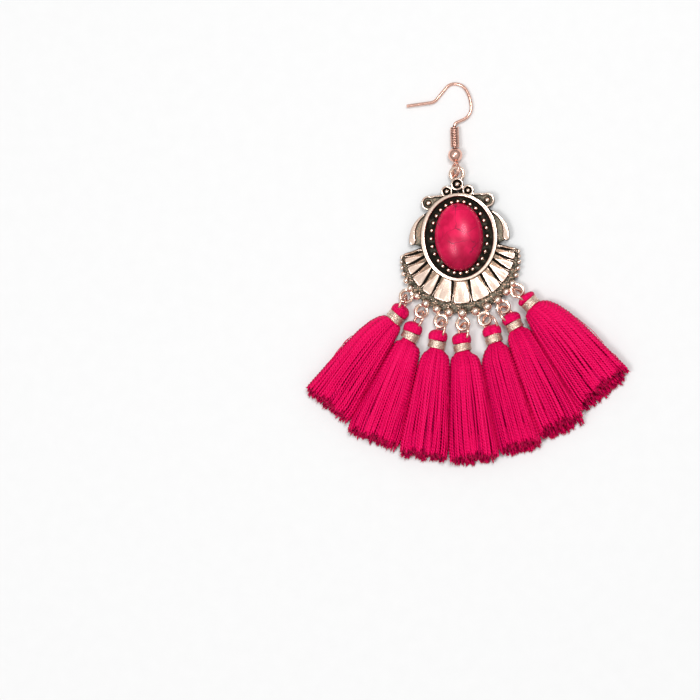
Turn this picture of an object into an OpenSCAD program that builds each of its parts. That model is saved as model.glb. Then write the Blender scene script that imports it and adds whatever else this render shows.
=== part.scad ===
// Drop earring: a cast fan-shaped setting with an oval stone, hung on a wire hook,
// with seven thread tassels on jump rings. It lies flat on a table.
// X runs to the right, Y up towards the hook and Z away from the table. Lengths are in millimetres.

/* [Stone] */
// Width of the oval stone
stone_w = 10; // [8:0.5:12]
// Length of the oval stone
stone_l = 14; // [12:0.5:16]
// Height of the stone's dome
stone_h = 3.6; // [2.5:0.1:5]
// Height of the straight wall at the stone's edge
stone_edge = 0.8; // [0.3:0.1:1.5]
// Air between the stone and the plate that it sits on
stone_gap = 0.05; // [0.02:0.01:0.2]

/* [Oval frame] */
// Room beside the stone before the ring of small beads
seat_side = 0.43; // [0.1:0.01:1]
// Room past the stone's ends before the ring of small beads
seat_end = 0.05; // [0.03:0.01:0.6]
// Radius of the small beads round the stone
seed_r = 0.42; // [0.3:0.02:0.6]
// Number of small beads round the stone
seed_count = 28; // [20:1:36]
// Width of the groove between the small beads and the frame, at the sides
groove_side = 0.88; // [0.4:0.02:1.4]
// Width of the same groove at the ends
groove_end = 0.63; // [0.3:0.02:1.2]
// Width of the raised frame at the sides
frame_side = 0.85; // [0.5:0.05:1.4]
// Width of the raised frame at the ends
frame_end = 0.65; // [0.4:0.05:1.2]

/* [Casting] */
// Height of the casting's back above the table
lift = 0.9; // [0.7:0.05:1.2]
// Thickness of the back plate
plate_t = 0.7; // [0.4:0.05:1]
// Height of the raised frame above the back
frame_t = 1.5; // [1:0.05:2]
// Height of the fan's rays above the back
ray_t = 1.25; // [0.9:0.05:1.8]
// Height of the scrolls and side bars above the back
scroll_t = 1.3; // [0.9:0.05:1.8]

/* [Fan] */
// Drop of the fan's centre below the stone's centre
fan_drop = 2.2; // [0:0.1:4]
// Length of the middle ray
ray_l = 4.65; // [3:0.05:6]
// Width of the groove between two rays
ray_gap = 0.5; // [0.3:0.05:0.8]
// Width of the textured band between the rays and the middle of the edge beads
band_w = 1.95; // [1.5:0.05:2.5]
// How far the row of edge beads draws in at its two ends
band_fall = 1.4; // [0:0.1:2]
// Radius of the middle edge bead, the largest
bead_r = 1.05; // [0.7:0.05:1.3]
// Distance between two edge beads, as a share of their radii added up
bead_spread = 1.37; // [1.1:0.01:1.5]

/* [Scrolls] */
// Distance of the wing scrolls' middles outside the oval frame
wing_out = 1.0; // [0.6:0.05:1.4]
// Outer radius of a wing scroll
wing_r = 1.5; // [1.2:0.05:1.8]
// Width of a scroll's raised rim
scroll_rim = 0.38; // [0.25:0.01:0.5]
// Radius of the ball in a wing scroll
wing_ball_r = 0.58; // [0.4:0.02:0.8]
// Distance of the top scrolls' middles outside the oval frame
curl_out = 0.8; // [0.4:0.05:1.2]
// Outer radius of a top scroll
curl_r = 1.2; // [0.9:0.05:1.4]
// Radius of the ball in a top scroll
curl_ball_r = 0.5; // [0.3:0.02:0.7]
// Reach of the side bars past the oval frame
bar_out = 2.45; // [2:0.05:3]
// Greatest width of a side bar
bar_w = 1.25; // [0.8:0.05:1.6]

/* [Loops of the casting] */
// Radius of the rod that the loops are cast in
loop_rod_r = 0.35; // [0.25:0.01:0.4]
// Radius of the hole in a bottom loop
loop_hole_r = 0.9; // [0.8:0.02:1.1]
// Angle between two bottom loops, seen from the fan's centre
loop_pitch = 16.9; // [15:0.1:18]
// How far a bottom loop is sunk into the beads
loop_sink = 0.4; // [0.2:0.05:0.6]
// How far the outer bottom loops draw in
loop_fall = 0.9; // [0:0.1:1.4]
// Outer radius of the small ring at the top
crown_r = 1.33; // [1:0.01:1.6]
// Radius of the ball in the small ring at the top
crown_ball_r = 0.55; // [0.4:0.01:0.7]
// Radius of the rod that the top ring is cast in
hang_rod_r = 0.38; // [0.3:0.01:0.42]
// Radius of the hole in the top ring
hang_hole_r = 0.99; // [0.95:0.01:1.2]

/* [Ear wire] */
// Radius of the ear wire
wire_r = 0.33; // [0.25:0.01:0.4]
// Radius of the round eye at the wire's foot, to the wire's middle
eye_r = 1.3; // [1.2:0.05:1.5]
// Turn of the eye out of the earring's plane, degrees
eye_turn = 57; // [50:1:60]
// Radius of the ball on the wire
ball_r = 1.5; // [1.2:0.05:1.8]
// Length of the coil on the wire
coil_l = 4.6; // [3:0.1:6]
// Outer radius of the coil
coil_r = 0.93; // [0.8:0.01:1.1]
// Number of turns in the coil
coil_turns = 12; // [8:1:16]
// Radius of the bow that sits in the ear
bow_r = 2.9; // [2.4:0.1:3.4]
// Length of the straight end behind the ear
tail_l = 5; // [3:0.1:8]
// Air round the wire inside the ball and the coil
wire_fit = 0.04; // [0.02:0.01:0.06]

/* [Jump rings] */
// Radius of the jump rings, to the middle of their wire
ring_r = 1.9; // [1.8:0.01:2]
// Radius of the jump rings' wire
ring_wire_r = 0.28; // [0.22:0.01:0.3]
// Air round a jump ring inside a tassel's head
ring_air = 0.12; // [0.08:0.01:0.15]

/* [Tassels] */
// Radius of a tassel's head
head_r = 1.95; // [1.8:0.05:2.1]
// Length of a tassel's head above its binding
head_l = 2.2; // [2:0.05:2.4]
// Radius of the neck inside the binding
neck_r = 1.35; // [1.1:0.05:1.45]
// Length of a tassel from the middle of its head to its cut end
tassel_l = 25.4; // [20:0.2:28]
// Width of the widest skirt at its cut end
skirt_w = 12; // [9:0.2:14]
// Thickness of a skirt where it lies thickest
skirt_h = 4.7; // [3.5:0.1:6]
// Depth of the grooves between the locks of thread, as a share of the thickness
lock_depth = 0.07; // [0:0.01:0.15]
// Number of locks round a skirt
lock_count = 12; // [8:1:14]
// Gap between two skirts that lie side by side
skirt_gap = 0.12; // [0.05:0.01:0.3]

/* [Bindings] */
// Length of the binding along the tassel
wrap_l = 1.9; // [1.2:0.1:2.4]
// Outer radius of the binding
wrap_r = 1.85; // [1.75:0.01:1.95]
// Air between the neck and the binding
wrap_air = 0.23; // [0.2:0.01:0.3]

/* [Hidden] */
// Every sub-part, in the order of the if lines at the end
// Which sub-part is drawn
$fn = 32;

copper = [0.80, 0.52, 0.42];
cast_gold = [0.72, 0.55, 0.44];
crimson = [0.80, 0.02, 0.25];
stone_red = [0.78, 0.08, 0.25];
gold_thread = [0.85, 0.70, 0.52];

// A little more than nothing, so that joined solids bite into each other
bite = 0.05;

// A side bar's outer and inner arcs, each its radius and its middle's place along Y, and the place of its
// round foot, all as shares of the frame's half length
bar_outer = [0.68, -0.033];
bar_inner = [0.512, 0.093];
bar_foot = -0.055;
bar_steps = 12;

// Half axes of the ovals, from the stone outwards
seed_oval = [stone_w / 2 + seat_side + seed_r, stone_l / 2 + seat_end + seed_r];
groove_oval = seed_oval + [seed_r + groove_side, seed_r + groove_end];
frame_oval = groove_oval + [frame_side, frame_end];
oval_steps = 64;

// Heights above the table
plate_top = lift + plate_t;
frame_top = lift + frame_t;
ray_top = lift + ray_t;
scroll_top = lift + scroll_t;
link_z = lift + 0.6;
bead_z = lift + 0.7;
seed_z = plate_top + 0.15;
scroll_ball_z = plate_top + 0.1;

// The fan, measured from its own centre
fan_centre = [0, -fan_drop];
fan_r = frame_oval.y - fan_drop + ray_l;
edge_r = fan_r + band_w;
edge_span = 86;
edge_steps = 22;
// How far plates and rays run in under the frame
root = [0.3, 0.3];
// A ray's round end draws in by this length at its corners, over this share of its width
ray_shoulder = 0.4;
ray_ease = 0.12;

// Grooves of the fan: column 0 is their angle at the rim of the fan, column 1 their place on the oval
grooves = [[10.3, 12.3], [32.3, 31.2], [46.7, 47], [62.2, 58.2], [73.5, 66.7], [83.5, 74.3], [88.5, 79.5]];

// Radii of the edge beads from the middle outwards, as shares of the largest
bead_shares = [1, 0.93, 0.9, 0.88, 0.81, 0.71, 0.57, 0.48, 0.43, 0.38, 0.33];

// Places on the oval frame: degrees up from its side
wing_at = 47.5;
wing_tail_at = 67;
wing_end_at = 73;
curl_at = 75.5;
// Width of a wing's tail, its way out of the frame, and where it leaves the scroll, degrees
wing_tail_w = 0.4;
wing_tail_out = 0.2;
wing_tail_turn = 105;
// The small ring at the top and the neck of plate under it: half widths at the frame and at the ring
crown_out = 1.9;
crown_root_w = 1.6;
crown_neck_w = 1.2;
// The small hole below that ring
crown_hole = [0.6, 0.5];
crown_hole_out = 0.12;
// How far the top ring is sunk into the small one
hang_sink = 0.17;
crown_y = frame_oval.y + crown_out;
hang_y = crown_y + crown_r + hang_hole_r - hang_sink;

// The tassels, from left to right. Angles are from straight down, positive to the left.
// 0: loop to head. 1: the tassel itself. 2: extra slant of its binding. 3: tilt of its jump ring.
// 4: the jump ring's upper side, 1 for the right and -1 for the left.
// 5: loop to the middle of the jump ring, as a share of ring_r.
// 6: loop to the middle of the head, as a share of the jump ring's width. 7: length of the head as a
// share of head_l. 8: width as a share of skirt_w. 9: length as a share of tassel_l.
AIM = 0;
LEAN = 1;
SLANT = 2;
TILT = 3;
SIDE = 4;
REACH = 5;
DROP = 6;
HEAD = 7;
WIDE = 8;
LONG = 9;
tassels = [
    [21.2, 40.5, 0, 84, -1, 0.94, 0.808, 1, 1, 0.986],
    [27.9, 22.2, 9, 60, 1, 1, 0.934, 1, 1, 0.977],
    [12.1, 9.6, 8, 58, 1, 0.94, 0.749, 1, 0.88, 0.995],
    [7.5, -3.6, -8, 54, 1, 0.94, 0.744, 1, 1, 0.995],
    [-30.9, -11.6, -8, 46, 1, 0.86, 0.705, 0.95, 0.84, 1],
    [-33.5, -22, -3, 58, -1, 0.88, 0.703, 0.9, 0.84, 1],
    [-45.8, -38.9, 0, 72, -1, 0.71, 0.626, 0.62, 1.09, 0.996]
];
last = len(tassels) - 1;

// Sections of a tassel. 0: place, in head lengths from the middle of the head down to the neck.
// 1: half width and 2: half height as shares of head_r.
head_sections = [[-0.5, 0.3, 0.3], [-0.45, 0.56, 0.56], [-0.34, 0.8, 0.8], [-0.16, 0.96, 0.96],
    [0.1, 1, 1], [0.32, 0.96, 0.96], [0.46, 0.82, 0.82]];
// 0: place along the skirt as a share of its length. 1: half width as a share of its end width,
// 2: height as a share of skirt_h, 3: depth of the locks.
skirt_sections = [[0.01, 0.2, 0.8, 0.3], [0.05, 0.27, 0.84, 0.7], [0.13, 0.35, 0.92, 1], [0.26, 0.42, 0.98, 1],
    [0.42, 0.465, 1, 1], [0.58, 0.485, 1, 1], [0.74, 0.495, 0.97, 1], [0.9, 0.5, 0.92, 1], [1, 0.475, 0.84, 1]];
// How far the cut slopes back from the table to the top, as a share of the skirt's thickness
cut_slope = 0.45;
round_steps = 48;

// A binding ends this far inside its length, and its outer edges are eased over this length
wrap_clear = 0.1;
wrap_round = 0.25;

// How far a jump ring that lies flat would sit beside the line from its loop to its head
ring_shift = 0.6;

// One turn of the coil in section. 0: place as a share of the pitch. 1: radius as a share of coil_r.
coil_turn = [[0.04, 0.82], [0.25, 0.97], [0.5, 1], [0.75, 0.97], [0.96, 0.82]];

// The ear wire's bends after the coil. 0: radius, or length of a straight, as a share of bow_r. 1: turn.
bends = [[0.31, -69.3], [0.45, 0], [0.97, 70], [2.7, 27], [1, 63], [0.76, 48], [1.07, 0], [0.69, -44]];
// The swept part of the ear wire: its sides, the turn from one of its rings to the next, and its thickness
// as a share of the wire's where it starts in the eye and where it runs into the straight end
wire_sides = 16;
wire_turn_step = 8;
foot_share = 0.9;
end_share = 0.96;
// The eye's place and the way that the stem runs
eye_x = -0.2;
eye_overlap = 0.38;
eye_y = hang_y + eye_r - eye_overlap;
stem_turn = 89.8;
// The ball starts this far above the eye, and the coil starts on the ball
ball_gap = 0.26;
ball_y = eye_y + eye_r + ball_gap + ball_r;
coil_y = ball_y + ball_r;

function oval_at(half, turn) = [half.x * cos(turn), half.y * sin(turn)];
function oval(half) = [for (i = [0:oval_steps - 1]) oval_at(half, 360 * i / oval_steps)];
function polar(radius, turn) = [radius * sin(turn), -radius * cos(turn)];
function outward(turn) =
    let (n = [cos(turn) / frame_oval.x, sin(turn) / frame_oval.y]) n / norm(n);
function beside_frame(turn, out) = oval_at(frame_oval, turn) + out * outward(turn);
function arc(centre, radius, from, to, steps) =
    [for (i = [0:steps]) centre + radius * [cos(from + (to - from) * i / steps), sin(from + (to - from) * i / steps)]];

// Edge beads: the turn of bead i about the fan's centre adds up the spaces before it
function edge_reach(turn) = edge_r - band_fall * pow(turn / edge_span, 3);
function edge_turn(i) = i == 0 ? 0
    : edge_turn(i - 1)
        + 2 * asin(bead_spread * bead_r * (bead_shares[i] + bead_shares[i - 1]) / (2 * edge_reach(edge_turn(i - 1))));
function bead_at(i) = fan_centre + polar(edge_reach(edge_turn(i)), edge_turn(i));

// Bottom loops, 0 at the left
loop_r = loop_hole_r + loop_rod_r;
function loop_turn(i) = (i - last / 2) * loop_pitch;
function loop_at(i) =
    let (turn = loop_turn(i), fall = loop_fall * pow(abs(turn) / loop_turn(last), 1.5))
    fan_centre + polar(edge_r + bead_r + loop_r + loop_rod_r - loop_sink - fall, turn);

// Directions on the table, turned from straight down, and their right-hand side
function down(turn) = [-sin(turn), -cos(turn)];
function right(turn) = [cos(turn), -sin(turn)];

// Tassels
head_z = head_r;
// A slanted binding needs this much more neck at each end
function slack(i) = wrap_r * sin(abs(tassels[i][SLANT]));
function head_length(i) = head_l * tassels[i][HEAD] - slack(i);
function neck_start(i) = head_length(i) / 2;
function neck_length(i) = wrap_l + 2 * slack(i);
function skirt_start(i) = neck_start(i) + neck_length(i);
function skirt_length(i) = tassel_l * tassels[i][LONG] - skirt_start(i);
function head_at(i) = loop_at(i) + tassels[i][DROP] * 2 * ring_r * down(tassels[i][AIM]);
function along(i, s) = head_at(i) + s * down(tassels[i][LEAN]);
function end_half(i) = tassels[i][WIDE] * skirt_w / 2;
function corner(i, side) = along(i, skirt_start(i) + skirt_length(i)) + side * end_half(i) * right(tassels[i][LEAN]);

// The seam between tassel i and the one to its right runs from between the necks to between the corners
function seam_start(i) = (along(i, skirt_start(i)) + along(i + 1, skirt_start(i + 1))) / 2;
function seam_end(i) = (corner(i, 1) + corner(i + 1, -1)) / 2;
function cross2(a, b) = a.x * b.y - a.y * b.x;
function seam_reach(i, place, side_way) =
    let (run = seam_end(i) - seam_start(i))
    -cross2(run, place - seam_start(i)) / cross2(run, side_way) - skirt_gap / 2;
function room(i, side, s) =
    let (seam = side > 0 ? i : i - 1)
    seam < 0 || seam >= last ? 1000 : seam_reach(seam, along(i, s), side * right(tassels[i][LEAN]));

// One section: s along the tassel, half widths left and right, low and high edge, locks, slope of the cut
function lock_wave(turn) = 0.5 - 0.5 * cos(lock_count * turn);
function rounded(x, power) = sign(x) * pow(abs(x), power);
function section(i, s, left, right, low, high, locks, slope) =
    [for (k = [0:round_steps - 1])
        let (
            turn = -360 * (k + 0.5) / round_steps,
            full = 1 - lock_depth * locks * lock_wave(turn),
            across = rounded(cos(turn), 0.85) * full * (cos(turn) > 0 ? right : left),
            flat = 1 - 0.5 * locks,
            rise = rounded(sin(turn), sin(turn) > 0 ? 0.9 : 0.9 * flat) * full,
            z = (low + high) / 2 + rise * (high - low) / 2,
            p = along(i, s - slope * (z - low)) + across * right(tassels[i][LEAN])
        )
        [p.x, p.y, z]];
function head_ring(i, row) =
    section(i, row[0] * head_length(i), row[1] * head_r, row[1] * head_r,
        head_z - row[2] * head_r, head_z + row[2] * head_r, 0, 0);
function neck_ring(i, s) = section(i, s, neck_r, neck_r, head_z - neck_r, head_z + neck_r, 0, 0);
function skirt_ring(i, row) =
    let (s = skirt_start(i) + row[0] * skirt_length(i), half = row[1] * 2 * end_half(i))
    section(i, s, min(half, room(i, -1, s)), min(half, room(i, 1, s)), 0, row[2] * skirt_h, row[3],
        row[0] == 1 ? cut_slope : 0);
function tassel_rings(i) = concat(
    [for (row = head_sections) head_ring(i, row)],
    [for (share = [0, 0.5, 1]) neck_ring(i, neck_start(i) + share * neck_length(i))],
    [for (row = skirt_sections) skirt_ring(i, row)]);
function middle(points) = [for (axis = [0:2]) sum_axis(points, axis) / len(points)];
function sum_axis(points, axis, i = 0) = i == len(points) ? 0 : points[i][axis] + sum_axis(points, axis, i + 1);

// Closed skin over a list of rings with the same number of points
function skin_points(rings) = concat([for (ring = rings) each ring], [middle(rings[0]), middle(rings[len(rings) - 1])]);
function skin_faces(count, n) = concat(
    [for (j = [0:count - 2], k = [0:n - 1])
        let (a = j * n + k, b = j * n + (k + 1) % n)
        each [[a, b, a + n], [b, b + n, a + n]]],
    [for (k = [0:n - 1]) [count * n, (k + 1) % n, k]],
    [for (k = [0:n - 1]) [count * n + 1, (count - 1) * n + k, (count - 1) * n + (k + 1) % n]]);

// The ear wire's path after the coil, in its own plane: x, y and heading at the start of bend i
function bend_end(p, b) =
    let (size = b[0] * bow_r, way = sign(b[1]))
    b[1] == 0 ? [p.x + size * cos(p.z), p.y + size * sin(p.z), p.z]
        : [p.x + way * size * (sin(p.z + b[1]) - sin(p.z)), p.y - way * size * (cos(p.z + b[1]) - cos(p.z)), p.z + b[1]];
function stem_point(y) = [eye_x + (y - eye_y - eye_r) / tan(stem_turn), y, stem_turn];
function bend_start(i) = i == 0 ? stem_point(coil_y + coil_l) : bend_end(bend_start(i - 1), bends[i - 1]);
function bend_part(i, part) = part == 0 ? bend_start(i) : bend_end(bend_start(i), bends[i] * [[1, 0], [0, part]]);
function tail_point(s) = let (p = bend_start(len(bends))) [p.x + s * cos(p.z), p.y + s * sin(p.z), p.z];
function wire_ring(p, share) =
    [for (k = [0:wire_sides - 1])
        let (turn = -360 * k / wire_sides, radius = share * wire_r)
        [p.x - radius * sin(p.z) * cos(turn), p.y + radius * cos(p.z) * cos(turn), radius * sin(turn)]];
function bend_rings(i) =
    let (steps = max(1, ceil(abs(bends[i][1]) / wire_turn_step)))
    [for (k = [0:steps - 1]) wire_ring(bend_part(i, k / steps), 1)];
bow_y = max([for (i = [0:len(bends) - 1], part = [0.1:0.1:1]) bend_part(i, part).y]);
lay_turn = asin((ball_r - wire_r) / (bow_y - ball_y));

// The whole earring's extent, to put the origin at the middle of its underside
skirt_points = [for (i = [0:last]) each skirt_ring(i, skirt_sections[len(skirt_sections) - 1])];
low_x = min([for (p = skirt_points) p.x]);
high_x = max([for (p = skirt_points) p.x]);
low_y = min([for (p = skirt_points) p.y]);
high_y = ball_y + (bow_y - ball_y) * cos(lay_turn) + wire_r;
to_origin = -[(low_x + high_x) / 2, (low_y + high_y) / 2, 0];

// A slab of an outline, from the casting's back up to a height
module slab(points, top) {
    translate([0, 0, lift])
        linear_extrude(top - lift)
            polygon(points);
}

// A ball half sunk in the plate
module ball(place, radius, z) {
    translate([place.x, place.y, z])
        sphere(radius);
}

// Oval back plate, raised frame and the ring of small beads
module oval_frame() {
    slab(oval(frame_oval - [bite, bite]), plate_top);
    difference() {
        slab(oval(frame_oval), frame_top);
        translate([0, 0, plate_top - bite])
            linear_extrude(frame_t)
                polygon(oval(groove_oval));
    }
    for (i = [0:seed_count - 1])
        ball(oval_at(seed_oval, 90 + 360 * i / seed_count), seed_r, seed_z);
}

// Outline of ray i, 0 for the middle one: two straight sides, a round outer end with eased corners
module ray(i) {
    outer_half = ray_gap / 2 / fan_r * 180 / PI;
    inner_half = ray_gap / 2 / frame_oval.x * 180 / PI;
    from = i == 0 ? [-grooves[0][0], -grooves[0][1]] : grooves[i - 1];
    to = grooves[i];
    a = from + [outer_half, inner_half];
    b = to - [outer_half, inner_half];
    ease = ray_ease * (b[0] - a[0]);
    slab(concat(
        [oval_at(frame_oval - root, a[1] - 90), fan_centre + polar(fan_r - ray_shoulder, a[0])],
        [for (k = [0:4]) fan_centre + polar(fan_r, a[0] + ease + (b[0] - a[0] - 2 * ease) * k / 4)],
        [fan_centre + polar(fan_r - ray_shoulder, b[0]), oval_at(frame_oval - root, b[1] - 90)]
    ), ray_top);
}

// The fan: plate, thirteen rays and the row of edge beads. The plate reaches under the last bead.
module fan() {
    span = max(edge_span, edge_turn(len(bead_shares) - 1));
    slab(concat(
        [for (k = [-edge_steps:edge_steps])
            let (turn = span * k / edge_steps) fan_centre + polar(edge_reach(abs(turn)), turn)],
        [oval_at(frame_oval - root, -10), [0, 0], oval_at(frame_oval - root, 190)]
    ), plate_top);
    ray(0);
    both_sides() {
        for (i = [1:len(grooves) - 1])
            ray(i);
        for (i = [1:len(bead_shares) - 1])
            ball(bead_at(i), bead_r * bead_shares[i], bead_z);
    }
    ball(bead_at(0), bead_r, bead_z);
}

// A scroll: floor, round rim and ball
module scroll(place, radius, ball_radius) {
    translate([place.x, place.y, lift])
        cylinder(h = plate_t, r = radius - bite);
    translate([place.x, place.y, lift])
        difference() {
            cylinder(h = scroll_t, r = radius);
            translate([0, 0, plate_t - bite])
                cylinder(h = scroll_t, r = radius - scroll_rim);
        }
    ball(place, ball_radius, scroll_ball_z);
}

// Wing scroll at the shoulder, with its tail along the top of the frame
module wing() {
    middle_at = beside_frame(wing_at, wing_out);
    tail = beside_frame(wing_tail_at, wing_tail_out);
    tail_top = tail + [0, wing_tail_w];
    top = middle_at + (wing_r - bite) * [cos(wing_tail_turn), sin(wing_tail_turn)];
    scroll(middle_at, wing_r, wing_ball_r);
    slab([beside_frame(wing_end_at, -root.x), tail_top - [0, bite], top - [0, bite], middle_at,
        beside_frame(wing_at, -root.x)], plate_top);
    slab([tail, tail_top, top, top - [-0.1, scroll_rim - 2 * bite]], scroll_top);
}

// Side bar: a crescent between two arcs, over a plate that reaches the frame
module side_bar() {
    outer_r = bar_outer.x * frame_oval.y;
    inner_r = bar_inner.x * frame_oval.y;
    outer_side = arc([frame_oval.x + bar_out - outer_r, bar_outer.y * frame_oval.y], outer_r, -2, 63, bar_steps);
    inner_side = arc([frame_oval.x + bar_out - bar_w - inner_r, bar_inner.y * frame_oval.y], inner_r, 58, -14,
        bar_steps);
    slab(concat(outer_side, [oval_at(frame_oval - root, 45), [stone_w, 0] * 0.4, oval_at(frame_oval - root, -12)]),
        plate_top);
    slab(concat(outer_side, inner_side), scroll_top);
    translate([frame_oval.x + bar_out - bar_w / 2 - bite / 2, bar_foot * frame_oval.y, lift])
        cylinder(h = scroll_t, r = bar_w / 2);
}

// Top of the casting: two small scrolls, a small ring with a ball and the ring that it hangs from
module crown() {
    both_sides()
        scroll(beside_frame(curl_at, curl_out), curl_r, curl_ball_r);
    scroll([0, crown_y], crown_r, crown_ball_r);
    difference() {
        slab([[-crown_root_w, frame_oval.y - root.y], [crown_root_w, frame_oval.y - root.y],
            [crown_neck_w, crown_y], [-crown_neck_w, crown_y]], plate_top);
        translate([-crown_hole.x / 2, frame_oval.y + crown_hole_out, 0])
            cube([crown_hole.x, crown_hole.y, frame_top]);
    }
    difference() {
        cast_loop([0, hang_y], hang_hole_r + hang_rod_r, hang_rod_r);
        translate([0, crown_y, lift])
            cylinder(h = frame_t, r = crown_r - bite);
    }
}

// A round loop cast in rod
module cast_loop(place, radius, rod) {
    translate([place.x, place.y, link_z])
        rotate_extrude()
            translate([radius, 0])
                circle(rod);
}

module both_sides() {
    children();
    mirror([1, 0, 0])
        children();
}

module setting() {
    color(cast_gold)
        translate(to_origin)
            difference() {
                union() {
                    oval_frame();
                    fan();
                    both_sides() {
                        wing();
                        side_bar();
                    }
                    crown();
                    for (i = [0:last])
                        cast_loop(loop_at(i), loop_r, loop_rod_r);
                }
                translate([0, 0, -lift])
                    linear_extrude(2 * lift)
                        square(4 * edge_r, center = true);
            }
}

// Cabochon: a straight wall at the edge and a round dome
module stone() {
    half = [stone_w, stone_l] / 2;
    steps = 8;
    dome = stone_h - stone_edge;
    levels = concat([[0.94, 0], [1, stone_edge / 4], [1, stone_edge]],
        [for (j = [1:steps - 1]) [cos(90 * j / steps), stone_edge + dome * sin(90 * j / steps)]],
        [[0.06, stone_h]]);
    rings = [for (level = levels)
        [for (k = [0:round_steps - 1])
            let (p = oval_at(half * level[0], -360 * k / round_steps)) [p.x, p.y, level[1]]]];
    color(stone_red)
        translate(to_origin + [0, 0, plate_top + stone_gap])
            polyhedron(skin_points(rings), skin_faces(len(rings), round_steps));
}

// Lays the ear wire down: the ball and the bow touch the table
module laid() {
    translate(to_origin + [0, ball_y, ball_r])
        rotate([-lay_turn, 0, 0])
            translate([0, -ball_y, 0])
                children();
}

// The eye is a ring, the stem and the bow are one swept tube, and the end behind the ear is a straight rod
module ear_wire() {
    rings = concat(
        [wire_ring([eye_x, eye_y + eye_r, stem_turn], foot_share), wire_ring(stem_point(eye_y + eye_r + wire_r), 1)],
        [for (i = [0:len(bends) - 1]) each bend_rings(i)],
        [wire_ring(bend_start(len(bends)), end_share), wire_ring(tail_point(wire_r), foot_share)]
    );
    color(copper)
        laid() {
            translate([eye_x, eye_y, 0])
                rotate([0, -eye_turn, 0])
                    rotate_extrude()
                        translate([eye_r, 0])
                            circle(wire_r);
            polyhedron(skin_points(rings), skin_faces(len(rings), wire_sides));
            translate(tail_point(0) - [0, 0, tail_point(0).z])
                rotate([0, 90, tail_point(0).z])
                    cylinder(h = tail_l, r = wire_r);
        }
}

// Along the ear wire's stem, z running up it from y
module on_stem(y) {
    laid()
        translate([stem_point(y).x, y, 0])
            rotate([0, 0, stem_turn - 90])
                rotate([-90, 0, 0])
                    children();
}

module wire_ball() {
    color(copper)
        on_stem(ball_y)
            difference() {
                sphere(ball_r);
                cylinder(h = 3 * ball_r, r = wire_r + wire_fit, center = true);
            }
}

// Coil: a tube with one ridge for each turn
module wire_coil() {
    pitch = coil_l / coil_turns;
    color(copper)
        on_stem(coil_y)
            rotate_extrude()
                polygon(concat(
                    [[wire_r + wire_fit, 0]],
                    [for (i = [0:coil_turns - 1], k = coil_turn) [coil_r * k[1], (i + k[0]) * pitch]],
                    [[wire_r + wire_fit, coil_l]]));
}

// Places a round thing at jump ring i, its own plane turned out of the table's
module at_ring(i) {
    t = tassels[i];
    p = loop_at(i) + t[REACH] * ring_r * down(t[AIM]) + ring_shift * cos(t[TILT]) * t[SIDE] * right(t[AIM]);
    translate(to_origin + [p.x, p.y, max(head_z, ring_r * sin(t[TILT]) + ring_wire_r)])
        rotate([t[SIDE] * t[TILT], 0, -90 - t[AIM]])
            children();
}

module hoop(rod) {
    rotate_extrude()
        translate([ring_r, 0])
            circle(rod);
}

module jump_ring(i) {
    color(copper)
        at_ring(i)
            hoop(ring_wire_r);
}

module tassel(i) {
    rings = tassel_rings(i);
    color(crimson)
        difference() {
            translate(to_origin)
                polyhedron(skin_points(rings), skin_faces(len(rings), round_steps));
            at_ring(i)
                hoop(ring_wire_r + ring_air);
        }
}

// Binding: a barrel-shaped collar round the neck
module binding(i) {
    t = tassels[i];
    p = along(i, neck_start(i) + neck_length(i) / 2);
    inner = neck_r + wrap_air;
    half = wrap_l / 2 - wrap_clear;
    outer = wrap_r - wrap_round / 2;
    color(gold_thread)
        translate(to_origin + [p.x, p.y, head_z])
            rotate([0, 0, -90 - t[LEAN] - t[SLANT]])
                rotate([0, 90, 0])
                    rotate_extrude()
                        polygon([[inner, -half], [outer, -half], [wrap_r, -half + wrap_round],
                            [wrap_r, half - wrap_round], [outer, half], [inner, half]]);
}

ear_wire();
wire_coil();
wire_ball();
setting();
stone();
for (i = [0:last]) {
    jump_ring(i);
    tassel(i);
    binding(i);
}
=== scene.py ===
"""Drop earring with a cast fan, an oval stone and seven thread tassels, lying on a pale table."""
import math
from contextlib import contextmanager

import bpy
import numpy as np
from mathutils import Matrix, Vector
from mathutils.bvhtree import BVHTree


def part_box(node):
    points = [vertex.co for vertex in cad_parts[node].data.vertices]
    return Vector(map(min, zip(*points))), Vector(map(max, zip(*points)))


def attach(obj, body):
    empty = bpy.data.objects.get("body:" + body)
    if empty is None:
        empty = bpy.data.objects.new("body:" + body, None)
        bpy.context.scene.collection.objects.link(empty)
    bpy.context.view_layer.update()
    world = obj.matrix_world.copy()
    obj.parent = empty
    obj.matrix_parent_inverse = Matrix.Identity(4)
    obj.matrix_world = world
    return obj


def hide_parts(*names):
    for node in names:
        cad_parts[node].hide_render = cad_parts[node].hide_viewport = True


bl_info = {
    "name": "Tassel Earring",
    "version": (1, 0, 0),
    "blender": (4, 5, 0),
    "location": "3D View > Sidebar > Earring",
    "description": "Builds the metal, stone and thread of a lying tassel earring",
    "category": "Object",
}

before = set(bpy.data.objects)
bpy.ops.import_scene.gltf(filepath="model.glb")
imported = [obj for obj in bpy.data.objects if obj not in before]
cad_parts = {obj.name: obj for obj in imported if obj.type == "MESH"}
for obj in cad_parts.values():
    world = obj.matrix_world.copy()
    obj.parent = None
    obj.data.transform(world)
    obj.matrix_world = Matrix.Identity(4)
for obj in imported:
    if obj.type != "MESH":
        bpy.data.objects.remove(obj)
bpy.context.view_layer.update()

MM = 0.001
COUNT = 7
TASSELS = range(1, COUNT + 1)
UP = Vector((0, 0, 1))

# The stone's middle is the point that the drawing is measured from
STONE_LOW, STONE_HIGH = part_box("stone")
CENTRE = Vector(((STONE_LOW[0] + STONE_HIGH[0]) / 2, (STONE_LOW[1] + STONE_HIGH[1]) / 2, 0))

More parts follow.
